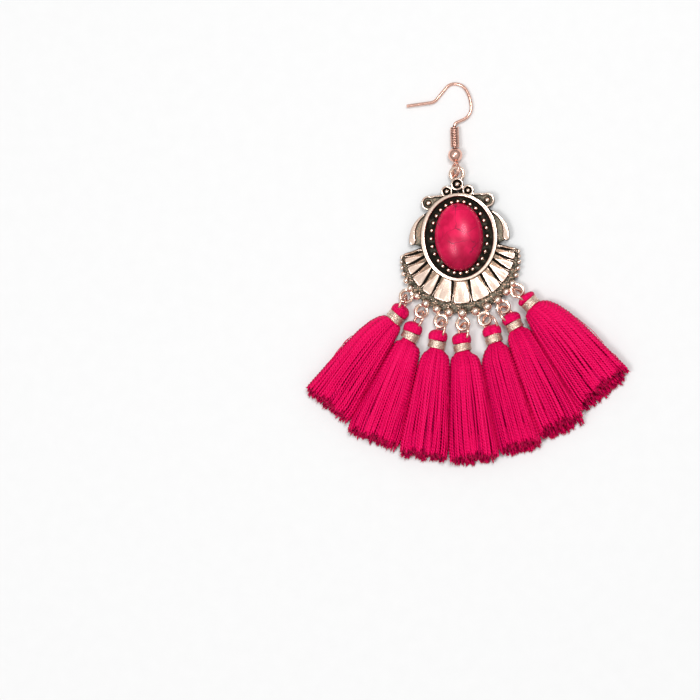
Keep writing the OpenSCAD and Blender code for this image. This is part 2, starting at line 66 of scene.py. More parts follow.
# How the tassels lie, left to right: degrees from straight down, positive to the left, and the extra
# slant of each binding
LEANS = (40.5, 22.2, 9.6, -3.6, -11.6, -22, -38.9)
SLANTS = (0, 9, 8, -8, -8, -3, 0)
# How far each tassel's cut slopes back from the table to the top, as a share of its height
CUTS = (0.40, 0.40, 0.40, 0.40, 0.5, 0.62, 0.62)
# How far its loose threads spread past its form on the left and on the right, as shares of its width
SPREADS = ((0.0, 0.07), (0.07, 0.07), (0.07, 0.15), (-0.03, 0.07), (0.07, 0.08), (0.08, 0.09), (0.09, 0.0))


def srgb(code):
    """Linear colour from an sRGB hex value."""
    parts = [int(code[i:i + 2], 16) / 255 for i in (1, 3, 5)]
    return tuple(c / 12.92 if c <= 0.04045 else ((c + 0.055) / 1.055) ** 2.4 for c in parts)


def place(x, y, z):
    """A point given in millimetres from the stone's middle, z up from the table."""
    return Vector((CENTRE.x + x * MM, CENTRE.y + y * MM, z * MM))


def bearings(degrees):
    """The way down and the way right on the table, for a turn from straight down to the left."""
    turn = math.radians(degrees)
    return np.array([[-math.sin(turn), -math.cos(turn), 0], [math.cos(turn), -math.sin(turn), 0]])


def ease(x):
    """A smooth step from 0 to 1."""
    x = np.clip(x, 0, 1)
    return x * x * (3 - 2 * x)


# ---------------------------------------------------------------- sizes and colours


def length(name, text, value):
    return bpy.props.FloatProperty(name=name, description=text, default=value * MM, unit="LENGTH",
                                   precision=5)


def share(name, text, value):
    return bpy.props.FloatProperty(name=name, description=text, default=value, min=0, max=1,
                                   subtype="FACTOR")


def colour(name, text, code):
    return bpy.props.FloatVectorProperty(name=name, description=text, default=srgb(code), size=3,
                                         subtype="COLOR")


class StageSettings(bpy.types.PropertyGroup):
    floor: colour("Floor", "Colour of the table", "#E6E6E6")
    light: bpy.props.FloatProperty(name="Light", description="Power of the soft lights", default=2.9)
    fill: bpy.props.FloatProperty(name="Fill", description="Light from all round", default=0.66)
    lean: bpy.props.FloatVectorProperty(
        name="Lean", description="Lean of the view to the right and down, as a share of its height",
        default=(0.152, -0.067), size=2)


class MetalSettings(bpy.types.PropertyGroup):
    wire_r: length("Wire radius", "Radius of the ear wire", 0.33)
    ring_wire_r: length("Ring wire radius", "Radius of the jump rings' wire", 0.28)
    ring_gap: length("Ring gap", "Opening between a jump ring's ends", 0.06)
    grain: length("Grain", "Depth of the casting's rough ground", 0.05)
    crown: length("Crown", "Rise of a ray's middle over its sides", 0.10)
    copper: colour("Copper", "Colour of the plated wire", "#F6C4B2")
    rose: colour("Rose gold", "Colour of the casting where it is rubbed bright", "#FADFCD")
    patina: colour("Patina", "Colour of the blackened hollows", "#4A463D")


class StoneSettings(bpy.types.PropertyGroup):
    body: colour("Body", "Colour of the dyed stone", "#B00038")
    cloud: colour("Cloud", "Colour of its paler clouds", "#DE1650")
    vein: colour("Vein", "Colour of its thin dark veins", "#5C1832")


class ThreadSettings(bpy.types.PropertyGroup):
    width: length("Thread width", "Width of one plied thread", 0.54)
    twist: length("Twist", "Length of one turn of the two plies", 1.36)
    fray: length("Fray", "How uneven the cut ends are", 0.46)
    lock: share("Locks", "How far threads draw together in locks", 0.13)
    body: colour("Thread", "Colour of the thread", "#D9004C")
    # Painted shade: the darker thread colour given to threads inside and under a tassel and to the threads'
    # sides
    deep: colour("Deep thread", "Colour of the thread inside a tassel", "#820030")
    gold: colour("Binding", "Colour of the metallic binding thread", "#FFEEDA")
    # Painted shade: the brown given to the seams between the binding yarn's strips
    gold_seam_shade: colour("Binding shade", "Colour between the binding's glints", "#A24A40")


# ---------------------------------------------------------------- materials


def give(tree, node, inputs):
    """Fills a node's sockets: a socket of another node is linked, and anything else is a value."""
    for key, term in inputs.items():
        if isinstance(term, bpy.types.NodeSocket):
            tree.links.new(term, node.inputs[key])
        else:
            node.inputs[key].default_value = term


def put(tree, kind, inputs=None, **settings):
    """Adds a node with its settings and its inputs."""
    node = tree.nodes.new("ShaderNode" + kind)
    for key, value in settings.items():
        setattr(node, key, value)
    give(tree, node, inputs or {})
    return node


def surface(name, values):
    """A new material with one Principled shader. Gives the material, its tree, the shader and the place."""
    mat = bpy.data.materials.new(name)
    mat.use_nodes = True
    tree = mat.node_tree
    tree.nodes.clear()
    shader = put(tree, "BsdfPrincipled", values)
    put(tree, "OutputMaterial", {"Surface": shader.outputs["BSDF"]})
    return mat, tree, shader, put(tree, "TexCoord").outputs["Object"]


def calc(tree, operation, *terms, clamp=False):
    """Arithmetic on sockets and numbers."""
    return put(tree, "Math", dict(enumerate(terms)), operation=operation, use_clamp=clamp).outputs[0]


def vector(tree, operation, first, key, term):
    """Vector arithmetic. The key names the second term's socket."""
    return put(tree, "VectorMath", {0: first, key: term}, operation=operation)


def spread(tree, source, low, high, start=0.0, stop=1.0):
    """A value moved from the range start to stop into the range low to high."""
    return put(tree, "MapRange", {"Value": source, "From Min": start, "From Max": stop, "To Min": low,
                                  "To Max": high}).outputs["Result"]


def blend(tree, factor, first, second):
    """Two colours mixed by a factor."""
    inputs = {"Factor": factor, "A": first, "B": second}
    return put(tree, "Mix", inputs, data_type="RGBA").outputs["Result"]


def ramp(tree, source, stops):
    """A colour ramp over a value. Stops are (place, colour)."""
    node = put(tree, "ValToRGB", {"Fac": source})
    bar = node.color_ramp
    while len(bar.elements) < len(stops):
        bar.elements.new(0.5)
    for element, (where, tone) in zip(bar.elements, stops):
        element.position = where
        element.color = (*tone[:3], 1)
    return node.outputs["Color"]


def noise(tree, spot, size, detail=3.0, rough=0.5):
    """A noise whose grain is about the given size in millimetres."""
    return put(tree, "TexNoise", {"Vector": spot, "Scale": 1 / (size * MM), "Detail": detail,
                                  "Roughness": rough}).outputs["Fac"]


def bump(tree, shader, height, strength, distance):
    """Fine relief, its distance in millimetres."""
    node = put(tree, "Bump", {"Strength": strength, "Distance": distance * MM, "Height": height})
    give(tree, shader, {"Normal": node.outputs["Normal"]})


def stored(tree, name):
    """A value stored in the mesh."""
    return put(tree, "Attribute", attribute_name=name).outputs["Fac"]


def strands(tree, per_mm, turns, wander=None):
    """Waves from -1 to 1 that wind round a tube, from its own map of turn and run."""
    run = put(tree, "UVMap", uv_map="run").outputs["UV"]
    parts = put(tree, "SeparateXYZ", {"Vector": run})
    phase = calc(tree, "ADD", calc(tree, "MULTIPLY", parts.outputs["Y"], per_mm),
                 calc(tree, "MULTIPLY", parts.outputs["X"], turns))
    if wander is not None:
        phase = calc(tree, "ADD", phase, wander)
    return calc(tree, "SINE", calc(tree, "MULTIPLY", phase, 2 * math.pi))


def shade(tone, *shares):
    """A colour times one share, or times a share for each of its parts."""
    shares = shares if len(shares) == 3 else shares * 3
    return tuple(c * k for c, k in zip(tone, shares))


def copper_wire(tone):
    """Drawn wire, plated in rose copper: fine draw marks soften its shine, and painted shade darkens the
    stem and the turns' inner side within the coil.
    """
    mat, tree, shader, spot = surface("copper_plated_drawn_wire_coil_shade", {"Metallic": 1.0})
    tint = ramp(tree, noise(tree, spot, 1.2, 4), [(0.35, shade(tone, 0.82)), (0.6, tone)])
    # Painted shade: the stem and the turns' inner side within the coil go nearly black
    tint = blend(tree, stored(tree, "hollow"), tint, (*shade(tone, 0.16, 0.10, 0.08), 1))
    give(tree, shader, {"Base Color": tint, "Roughness": spread(tree, noise(tree, spot, 0.5), 0.14, 0.27)})
    bump(tree, shader, noise(tree, spot, 0.12), 0.12, 0.02)
    return mat


def cast_metal(rose, patina):
    """Zinc cast, plated in rose gold, blackened and rubbed: bright on top, nearly black in the hollows, and
    darker on steep flanks with patina and painted shade.
    """
    mat, tree, shader, spot = surface("antiqued_rose_gold_casting_flank_shade", {"Metallic": 1.0})
    blotch = calc(tree, "SUBTRACT", noise(tree, spot, 0.24, 5, 0.6), 0.5)
    # The stored mask holds the patina, and painted shade on steep flanks
    mask = calc(tree, "ADD", stored(tree, "hollow"), calc(tree, "MULTIPLY", blotch, 0.55), clamp=True)
    # From rubbed metal over a brown edge into thin, full and thick black
    tint = ramp(tree, mask, [
        (0.24, rose), (0.38, shade(rose, 0.42, 0.30, 0.24)), (0.50, shade(patina, 2.2)),
        (0.70, shade(patina, 0.7)), (0.95, shade(patina, 0.15))])
    give(tree, shader, {"Base Color": tint, "Roughness": spread(tree, mask, 0.17, 0.6, 0.0, 0.7)})
    bump(tree, shader, noise(tree, spot, 0.2, 4), 0.13, 0.03)
    return mat


def dyed_stone(body, cloud, vein):
    """Dyed howlite, cut and polished: paler clouds and a net of hair-thin dark veins under a soft gloss."""
    mat, tree, shader, spot = surface("dyed_howlite_polished_foot_shade", {
        "Roughness": 0.3, "IOR": 1.59, "Specular IOR Level": 0.42, "Specular Tint": (1.0, 0.38, 0.5, 1),
        "Coat Weight": 0.04, "Coat Roughness": 0.05})
    bend = put(tree, "TexNoise", {"Scale": 300.0, "Detail": 3.0, "Vector": spot}).outputs["Color"]
    warp = vector(tree, "SUBTRACT", bend, 1, (0.5, 0.5, 0.5)).outputs[0]
    push = vector(tree, "SCALE", warp, "Scale", 3.2 * MM).outputs[0]
    moved = vector(tree, "ADD", spot, 1, push).outputs[0]
    cells = put(tree, "TexVoronoi", {"Scale": 270.0, "Vector": moved}, feature="DISTANCE_TO_EDGE")
    width = spread(tree, noise(tree, spot, 3.5, 2), 0.001, 0.026, 0.4, 0.62)
    line = calc(tree, "DIVIDE", cells.outputs["Distance"], width, clamp=True)
    base = ramp(tree, noise(tree, moved, 3.2, 4), [(0.35, body), (0.68, cloud)])
    # Painted shade: the colour is darker towards the foot, on the right, where the stone turns from the
    # light
    from_middle = vector(tree, "SUBTRACT", spot, 1, CENTRE).outputs[0]
    height = vector(tree, "DOT_PRODUCT", from_middle, 1, (-0.37, 0.93, 0.0)).outputs["Value"]
    depth = spread(tree, height, 0.66, 1.1, -6.8 * MM, 1.5 * MM)
    # The base colour times the painted shade towards the foot
    dyed = vector(tree, "SCALE", base, "Scale", depth).outputs[0]
    give(tree, shader, {"Base Color": blend(tree, line, (*vein, 1), dyed)})
    return mat


def thread_floss(body, deep):
    """Rayon, spun, plied and dyed: silky, with fibres along each ply, and painted light and shade from its
    stored tone: lighter on the plies' crests, darker at the threads' sides, inside and under.
    """
    mat, tree, shader, spot = surface("rayon_thread_twisted_painted_shade", {
        "Roughness": 0.36, "Specular IOR Level": 0.8, "Specular Tint": (1.0, 0.04, 0.30, 1)})
    speck = calc(tree, "MULTIPLY_ADD", noise(tree, spot, 0.35, 4), 0.7, -0.35)
    # The stored tone carries each thread's own tone with painted light and shade on it
    mixed = calc(tree, "ADD", speck, stored(tree, "tone"), clamp=True)
    light = (min(body[0] * 1.25, 1), body[1] + 0.012, body[2] * 1.8)
    give(tree, shader, {"Base Color": ramp(tree, mixed, [(0.0, deep), (0.45, body), (0.95, light)])})
    # Fibres lie across the thread at about 0.09 mm, which is coarser than real ones so that they show
    bump(tree, shader, strands(tree, 2.2, 6.0), 0.35, 0.03)
    return mat


def inner_floss_painted_shade(tone):
    """The same rayon between the threads that show, in painted shade: matt and deeper in colour, so that
    gaps look dark.
    """
    mat, tree, shader, spot = surface("rayon_thread_inner_painted_shade", {
        "Roughness": 0.8, "Specular IOR Level": 0.2, "Specular Tint": (1.0, 0.1, 0.3, 1)})
    tint = ramp(tree, noise(tree, spot, 0.3), [(0.3, shade(tone, 0.5)), (0.7, tone)])
    give(tree, shader, {"Base Color": tint})
    bump(tree, shader, noise(tree, spot, 0.25), 0.6, 0.1)
    return mat


def metallic_yarn(gold, deep):
    """Metallised strip, spun round a core: glints along slanting gold strips, with painted brown shade in
    the seams between them.
    """
    mat, tree, shader, spot = surface("metallised_binding_yarn_seam_shade", {"Metallic": 0.9, "Roughness": 0.3})
    # A strip goes once round the yarn in 0.45 mm
    wander = calc(tree, "MULTIPLY", noise(tree, spot, 0.5, 3), 1.2)
    strip_and_seam = calc(tree, "MULTIPLY_ADD", strands(tree, 2.2, 1.0, wander), 0.5, 0.5)
    # Painted shade: brown in the seams between the strips
    tint = ramp(tree, strip_and_seam, [(0.02, deep), (0.18, shade(gold, 0.8)), (0.5, gold)])
    give(tree, shader, {"Base Color": tint})
    bump(tree, shader, strip_and_seam, 0.6, 0.06)
    return mat


def yarn_core(gold):
    """The same yarn's lower turns, in painted shade: duller and browner, as little light reaches them."""
    mat, tree, shader, spot = surface("binding_yarn_under_turns_painted_shade", {"Metallic": 0.6, "Roughness": 0.45})
    brown = shade(gold, 0.3, 0.12, 0.1)
    tint = ramp(tree, noise(tree, spot, 0.22, 4), [(0.35, brown), (0.7, shade(gold, 0.7))])
    give(tree, shader, {"Base Color": tint})
    bump(tree, shader, noise(tree, spot, 0.15), 0.6, 0.06)
    return mat


# ---------------------------------------------------------------- meshes


def focus(obj=None):
    """Leaves one object selected and active, or none selected."""
    if bpy.context.mode != "OBJECT":
        bpy.ops.object.mode_set(mode="OBJECT")
    bpy.ops.object.select_all(action="DESELECT")
    if obj is not None:
        obj.select_set(True)
        bpy.context.view_layer.objects.active = obj


@contextmanager
def editing():
    """Edit mode on the active object, with all of it selected."""
    bpy.ops.object.mode_set(mode="EDIT")
    bpy.ops.mesh.select_all(action="SELECT")
    yield
    bpy.ops.object.mode_set(mode="OBJECT")


def face_outwards():
    bpy.ops.mesh.select_all(action="SELECT")
    bpy.ops.mesh.normals_make_consistent(inside=False)


def dress(obj, material):
    """Sets a piece's material and the body that it rides on."""
    obj.data.materials.clear()
    obj.data.materials.append(material)
    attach(obj, "root")


def settle(obj, name):
    """Names a new object and leaves it at the origin with its place in its mesh."""
    focus(obj)
    bpy.ops.object.transform_apply(location=True, rotation=True, scale=True)
    obj.name = obj.data.name = name
    return obj


def smooth(obj, degrees=180.0):
    """Smooth shading, with edges sharper than the angle kept."""
    focus(obj)
    if degrees < 180:
        bpy.ops.object.shade_smooth_by_angle(angle=math.radians(degrees))
    else:
        bpy.ops.object.shade_smooth()


def apply_modifier(obj, kind, **settings):
    focus(obj)
    bpy.ops.object.modifier_add(type=kind)
    mod = obj.modifiers[-1]
    for key, value in settings.items():
        setattr(mod, key, value)
    bpy.ops.object.modifier_apply(modifier=mod.name)


def merged_copy(node, name):
    """A copy of a solid with its loose triangles joined."""
    focus(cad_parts[node])
    bpy.ops.object.duplicate()
    obj = bpy.context.active_object
    obj.name = obj.data.name = name
    with editing():
        bpy.ops.mesh.remove_doubles(threshold=1e-6)
    return obj


def bent_wire(name, points, radius, sides=4):
    """A round wire along points in metres, as a mesh with closed ends."""
    line = bpy.data.curves.new(name, "CURVE")
    line.dimensions = "3D"
    line.bevel_depth = radius
    line.bevel_resolution = sides
    line.use_fill_caps = True
    spline = line.splines.new("POLY")
    spline.points.add(len(points) - 1)
    for point, spot in zip(spline.points, points):
        point.co = (*spot, 1)
    obj = bpy.data.objects.new(name, line)
    bpy.context.scene.collection.objects.link(obj)
    focus(obj)
    bpy.ops.object.convert(target="MESH")
    obj = bpy.context.active_object
    with editing():
        bpy.ops.mesh.remove_doubles(threshold=1e-7)
        face_outwards()
    smooth(obj, 50)
    return obj


def mesh_values(obj, key):
    """One row of three numbers for each point of a mesh: its place (co) or its normal."""
    rows = np.empty(len(obj.data.vertices) * 3)
    obj.data.vertices.foreach_get(key, rows)
    return rows.reshape(-1, 3)


def store(mesh, name, values):
    """Stores a value for each point of a mesh, for its material."""
    mesh.attributes.new(name, "FLOAT", "POINT").data.foreach_set("value", values.astype(np.float32))


def tree_of(obj):
    mesh = obj.data
    return BVHTree.FromPolygons([v.co for v in mesh.vertices], [tuple(p.vertices) for p in mesh.polygons])


def travelled(paths):
    """Distance run at each point of paths (thread, ring, xyz)."""
    steps = np.linalg.norm(np.diff(paths, axis=1), axis=2)
    return np.concatenate([np.zeros((len(paths), 1)), np.cumsum(steps, axis=1)], 1)


# ---------------------------------------------------------------- ear wire

# In millimetres from the stone's middle, in the hook's own plane, which dips from the ball to the bow
BALL_X, BALL_Y, BALL_R, DIP = -0.194, 17.2, 1.5, math.radians(4.425)
# The round eye: middle, radius, turn out of the plane, and where its wire starts and how far it runs
EYE_X, EYE_Y, EYE_R, EYE_TURN = -0.2, 14.14, 1.3, math.radians(57)
EYE_START, EYE_SWEEP, EYE_STEPS = math.radians(74), math.radians(322), 59
# From the eye's top to where the stem is straight
EYE_RISE = 0.35
COIL_Y, COIL_L, COIL_R, COIL_TURNS, COIL_STEPS = 18.7, 4.6, 0.93, 12, 28
# How much of the coil's pitch its wire fills: the rest shows as seams, dark with the painted shade on the
# stem inside
COIL_FULL = 0.7
STEM_X, STEM_TOP, STEM_WAY = -0.19, (-0.1725, 23.3), math.radians(89.8)
# The wire's bends after the coil: radius or length in millimetres, and turn in degrees
BENDS = ((0.90, -69.3), (1.305, 0), (2.81, 70), (7.83, 27), (2.9, 63), (2.2, 48), (3.1, 0), (2.0, -44),
         (5.0, 0))


def laid(x, y, z=0.0):
    """A point of the hook's own plane, laid down so that the ball and the bow touch the table."""
    run = y - BALL_Y
    return place(x, BALL_Y + run * math.cos(DIP) + z * math.sin(DIP),
                 BALL_R - run * math.sin(DIP) + z * math.cos(DIP))


def hook_path():
    """Points along the wire from its eye's cut end to the tip behind the ear."""
    path = []
    for k in range(EYE_STEPS + 1):
        a = EYE_START - EYE_SWEEP * k / EYE_STEPS
        u, v = EYE_R * math.cos(a), EYE_R * math.sin(a)
        path.append((EYE_X + u * math.cos(EYE_TURN), EYE_Y + v, u * math.sin(EYE_TURN)))
    foot, top = path[-1], (EYE_X, EYE_Y + EYE_R + EYE_RISE, 0.0)
    for t in np.arange(1, 6) / 5:
        shares = (math.sin(t * math.pi / 2), t, math.sin(t * math.pi / 2))
        path.append(tuple(f + (g - f) * part for f, g, part in zip(foot, top, shares)))
    (x, y), heading = STEM_TOP, STEM_WAY
    path.append((x, y, 0.0))
    for size, bend in BENDS:
        if bend == 0:
            x, y = x + size * math.cos(heading), y + size * math.sin(heading)
            path.append((x, y, 0.0))
            continue
        way = math.copysign(1, bend)
        cx, cy = x - way * size * math.sin(heading), y + way * size * math.cos(heading)
        steps = max(4, round(abs(bend) / 5))
        for k in range(1, steps + 1):
            h = heading + math.radians(bend) * k / steps
            path.append((cx + way * size * math.sin(h), cy - way * size * math.cos(h), 0.0))
        x, y, heading = path[-1][0], path[-1][1], heading + math.radians(bend)
    return [laid(*p) for p in path]


def coil_path():
    """Points along the coil's wire, and the wire's radius."""
    half = COIL_L / COIL_TURNS / 2
    wire = COIL_FULL * half
    path = []
    for k in range(COIL_TURNS * COIL_STEPS + 1):
        a = 2 * math.pi * k / COIL_STEPS
        y = COIL_Y + half + (COIL_L - 2 * half) * k / (COIL_TURNS * COIL_STEPS)
        path.append(laid(STEM_X + (COIL_R - wire) * math.cos(a), y, (COIL_R - wire) * math.sin(a)))
    return path, wire * MM


class EARRING_OT_hook(bpy.types.Operator):
    """Ear wire, its coil and its ball"""
    bl_idname = "earring.hook"
    bl_label = "Hook"

    def execute(self, context):
        s = context.scene.earring_metal
        copper = copper_wire(s.copper)
        wire = bent_wire("hook_wire", hook_path(), s.wire_r, 5)
        self.paint_coil_shade(wire, COIL_R)
        dress(wire, copper)
        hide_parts("ear_wire")
        coil = bent_wire("hook_coil", *coil_path(), 2)
        self.paint_coil_shade(coil, COIL_R - 0.1)
        dress(coil, copper)
        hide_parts("wire_coil")
        ball = self.ball(s)
        dress(ball, copper)
        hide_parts("wire_ball")
        return {"FINISHED"}

    def paint_coil_shade(self, wire, within):
        """Marks the metal nearer the coil's middle line than a length, for painted shade inside the coil.
        """
        foot, top = (np.array(laid(STEM_X, y)) for y in (COIL_Y, COIL_Y + COIL_L))
        along = (top - foot) / np.linalg.norm(top - foot)
        spots = mesh_values(wire, "co") - foot
        run = spots @ along
        off = np.linalg.norm(spots - run[:, None] * along, axis=1) / MM
        beside = (run > -0.1 * MM) & (run < (COIL_L + 0.1) * MM)
        store(wire.data, "hollow", beside * ease((within - off) / 0.06))

    def ball(self, s):
        """A round ball with a hole along the wire, joined through from pole to pole."""
        focus()
        bpy.ops.mesh.primitive_uv_sphere_add(segments=48, ring_count=28, radius=BALL_R * MM,
                                             location=(0, 0, 0))
        obj = bpy.context.active_object
        hole = s.wire_r + 0.06 * MM
        with editing():
            bpy.ops.mesh.select_all(action="DESELECT")
        for v in obj.data.vertices:
            v.select = math.hypot(v.co.x, v.co.y) < hole
        bpy.ops.object.mode_set(mode="EDIT")
        bpy.ops.mesh.delete(type="VERT")
        bpy.ops.mesh.select_all(action="SELECT")
        bpy.ops.mesh.select_mode(type="EDGE")
        bpy.ops.mesh.region_to_loop()
        bpy.ops.mesh.bridge_edge_loops()
        face_outwards()
        bpy.ops.mesh.select_mode(type="VERT")
        bpy.ops.object.mode_set(mode="OBJECT")
        obj.rotation_euler = (math.radians(-90) - DIP, 0, 0)
        obj.location = laid(BALL_X, BALL_Y)
        smooth(settle(obj, "hook_ball"), 40)
        return obj


# ---------------------------------------------------------------- casting

# Half axes of the oval frame and of the groove inside it
FRAME_OVAL, GROOVE_OVAL = (8.0, 9.17), (7.15, 8.52)
# The fan's own middle, the radius that its rays reach, and that of the row of edge beads
FAN_Y, FAN_R, EDGE_R = -2.2, 11.62, 13.57
# Height of the plate's top, and of the casting's back, above the table
PLATE_Z, BACK_Z = 1.6, 0.9
# Middle and radius of the right-hand wing scroll
WING, WING_R = (6.13, 7.45), 1.5
# Angles of the grooves between the rays, at the rim of the fan
GROOVES = (10.3, 32.3, 46.7, 62.2, 73.5, 83.5, 88.5)


def wave_noise(spots, size, seed, layers=5):
    """A smooth, repeatable noise about -1 to 1 over points, from sines in turned directions."""
    rng = np.random.default_rng(seed)
    total = np.zeros(len(spots))
    for _ in range(layers * 3):
        way = rng.normal(size=3)
        way /= np.linalg.norm(way)
        total += np.sin(spots @ way * (2 * math.pi / (size * rng.uniform(0.7, 1.6))) + rng.uniform(0, 6.28))
    return total / math.sqrt(layers * 1.5)


def hollows(obj, spots, normals, reach, rays):
    """How deep each point sits in a hollow, 0 to 1, from rays cast out over the surface."""
    tree = tree_of(obj)
    ways = np.random.default_rng(5).normal(size=(rays, 3))
    ways /= np.linalg.norm(ways, axis=1)[:, None]
    result = np.zeros(len(spots))
    for i, (p, n) in enumerate(zip(spots, normals)):
        if n[2] < -0.5:
            continue
        start = Vector(p + n * 0.03 * MM)
        hits = [tree.ray_cast(start, Vector(w + n * 1.05), reach)[3] for w in ways]
        result[i] = sum(1 - 0.5 * hit / reach for hit in hits if hit is not None) / rays
    return result


def on_oval(x, y, oval):
    """How far out each place lies on an oval, which is 1 at its edge."""
    return (x / oval[0]) ** 2 + (y / oval[1]) ** 2


def on_fan(x, y):
    """For each place: reach from the fan's middle, degrees from straight down, and distance from the
    nearest groove between two rays."""
    reach = np.hypot(x, y - FAN_Y)
    turn = np.degrees(np.arctan2(np.abs(x), -(y - FAN_Y)))
    return reach, turn, np.abs(turn[:, None] - np.array(GROOVES)).min(axis=1) * math.pi / 180 * reach


class EARRING_OT_casting(bpy.types.Operator):
    """The cast fan with its frame, beads, scrolls and loops"""
    bl_idname = "earring.casting"
    bl_label = "Casting"

    def execute(self, context):
        s = context.scene.earring_metal
        obj = merged_copy("setting", "casting")
        voxel = 0.105
        apply_modifier(obj, "REMESH", mode="VOXEL", voxel_size=voxel * MM, adaptivity=0.0)
        apply_modifier(obj, "SMOOTH", factor=0.5, iterations=2)
        self.relief(obj, s)
        apply_modifier(obj, "DECIMATE", ratio=0.42)
        smooth(obj)
        self.patina(obj)
        dress(obj, cast_metal(s.rose, s.patina))
        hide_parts("setting")
        return {"FINISHED"}

    def relief(self, obj, s):
        """Crowns the rays and roughens the ground, which the casting's outline leaves flat."""
        local = (mesh_values(obj, "co") - np.array(CENTRE)) / MM
        x, y, z = local.T
        reach, turn, groove = on_fan(x, y)
        outside = on_oval(x, y, FRAME_OVAL) > 1.0
        # Each ray is a little rounded from side to side
        rays = outside & (reach < FAN_R + 0.05) & (turn < 88.6) & (z > PLATE_Z + 0.25)
        edges = np.array([-GROOVES[0], *GROOVES])
        spot = np.clip(np.searchsorted(edges, turn), 1, len(edges) - 1)
        low, high = edges[spot - 1], edges[spot]
        across = np.clip(np.abs(turn - (low + high) / 2) / ((high - low) / 2), 0, 1)
        rise = s.crown / MM * (1 - across ** 2)
        streak = wave_noise(np.stack([turn * 0.5, reach * 0.05, np.zeros_like(reach)], 1), 1.1, 3)
        local[:, 2] += np.where(rays, rise - 0.06 + 0.005 * streak, 0)
        self.scrolls(local)
        # A low ridge runs along each gap between two rays
        ridge = outside & (reach < FAN_R - 0.1) & (turn < 89.5) & (z < PLATE_Z + 0.2) & (z > 1.3)
        local[:, 2] += np.where(ridge, 0.22 * np.exp(-(groove / 0.11) ** 2), 0)
        # The band between the rays and the beads is granular
        band = outside & (reach > FAN_R - 0.2) & (reach < EDGE_R + 1.2) & (y < 2)
        ground = band & (z < PLATE_Z + 0.2) & (z > 1.2)
        grit = np.abs(wave_noise(local, 0.55, 8, 4))
        local[:, 2] += np.where(ground, (grit - 0.6) * s.grain / MM * 1.6, 0)
        # All of it is a little uneven, as a casting is
        local += 0.006 * wave_noise(local, 1.4, 12)[:, None] * np.array([1, 1, 0.6])
        local[:, 2] = np.maximum(local[:, 2], BACK_Z)
        obj.data.vertices.foreach_set("co", (local * MM + np.array(CENTRE)).ravel())
        obj.data.update()

    def scrolls(self, local):
        """Opens the rim of each wing towards the frame, so that it runs out into its tail as a leaf."""
        x, y, z = np.abs(local[:, 0]), local[:, 1], local[:, 2]
        way = np.degrees(np.arctan2(y - WING[1], x - WING[0])) % 360
        off = np.hypot(x - WING[0], y - WING[1])
        gone = (way > 112) & (way < 238) & (off > WING_R - 0.6) & (off < WING_R + 0.16)
        gone &= (on_oval(x, y, FRAME_OVAL) > 1.03) & (y < 8.55 - 0.02 * x) & (z > PLATE_Z)
        local[:, 2] = np.where(gone, PLATE_Z + (z - PLATE_Z) * 0.05, local[:, 2])

    def patina(self, obj):
        """Stores how much blackening each point gets: patina left in hollows and on the low ground, and on
        flanks partly patina and partly painted shade.
        """
        spots, normals = mesh_values(obj, "co"), mesh_values(obj, "normal")
        worn = hollows(obj, spots, normals, 1.3 * MM, 14)
        x, y, z = ((spots - np.array(CENTRE)) / MM).T
        up, over = normals[:, 2], z - PLATE_Z
        reach, turn, groove = on_fan(x, y)
        oval = on_oval(x, y, FRAME_OVAL)
        # The casting's areas
        inside = on_oval(x, y, GROOVE_OVAL) < 1.0
        loops = ((reach > EDGE_R + 0.55) & (y < -4)) | (y > 12.5)
        gaps = ~inside & (reach < FAN_R - 0.05) & (turn < 89.5)
        band = ~inside & (reach > FAN_R - 0.1) & (y < 3)
        bars = ~inside & (np.abs(x) > 7.0) & (y > -1.0) & (y < 7.0)
        leaf = (oval > 1.03) & (np.abs(x) > 3.4) & (y > 5.8)
        edge_beads = ~inside & (reach > FAN_R + 0.7) & (z > PLATE_Z + 0.17) & (y < 3)
        beads = (inside & (z > PLATE_Z + 0.12)) | edge_beads
        rim = ~inside & (oval < 1.08) & (z > PLATE_Z + 0.3)
        rays = (oval > 1.05) & (reach < FAN_R + 0.1) & (z > PLATE_Z + 0.35) & (turn < 89)
        # How black each low area was left: the gaps between the rays have a rubbed ridge in them
        black = np.full(len(x), 0.62)
        for area, level in ((inside, 0.86 + 0.13 * wave_noise(np.stack([x, y, z], 1), 1.6, 21)),
                            (gaps, 0.80 - 0.34 * np.exp(-(groove / 0.12) ** 2)),
                            (band, np.clip(0.49 - 1.8 * over, 0.33, 0.62)), (bars, 0.42), (leaf, 0.48)):
            black = np.where(area, level, black)
        low = ease((PLATE_Z + 0.26 - z) / 0.16) * ease((up - 0.45) / 0.3) * black * ~loops
        # Steep flanks are darkened, partly as patina that they keep and partly as painted shade, but not on
        # the beads, which were rubbed all round
        flank_patina_and_shade = ease((np.where(rim, 0.82, 0.55) - up) / 0.5)
        flank_patina_and_shade *= np.where(loops, 0.22, np.where(beads, 0.0, np.where(rim, 0.5, 0.62)))
        # Smudges on the bright tops: by the frame, in streaks on the rays and along their edges
        streaks = wave_noise(np.stack([turn * 0.28, reach * 0.5, np.zeros_like(x)], 1), 1.5, 31)
        edge = np.maximum(ease((0.57 - groove) / 0.14), ease((reach - FAN_R + 0.22) / 0.12))
        smudge = 0.13 * ease((9.9 - reach) / 2.2) * (z > PLATE_Z + 0.4) * ~inside
        smudge += rays * (0.03 + 0.14 * np.clip(streaks - 0.9, 0, 1.2) + 0.30 * edge)
        smudge += 0.25 * ((oval > 0.98) & (oval < 1.05) & (y < 2) & (z > PLATE_Z + 0.3))
        sunk = (gaps | leaf | bars) & (z < PLATE_Z + 0.4)
        kept = np.where(loops | beads, 0.2, np.where(sunk, 0.4, 0.9))
        value = np.maximum(low, flank_patina_and_shade) + smudge + np.maximum(worn - 0.06, 0) * kept
        store(obj.data, "hollow", np.clip(value, 0, 1.2))


# ---------------------------------------------------------------- stone


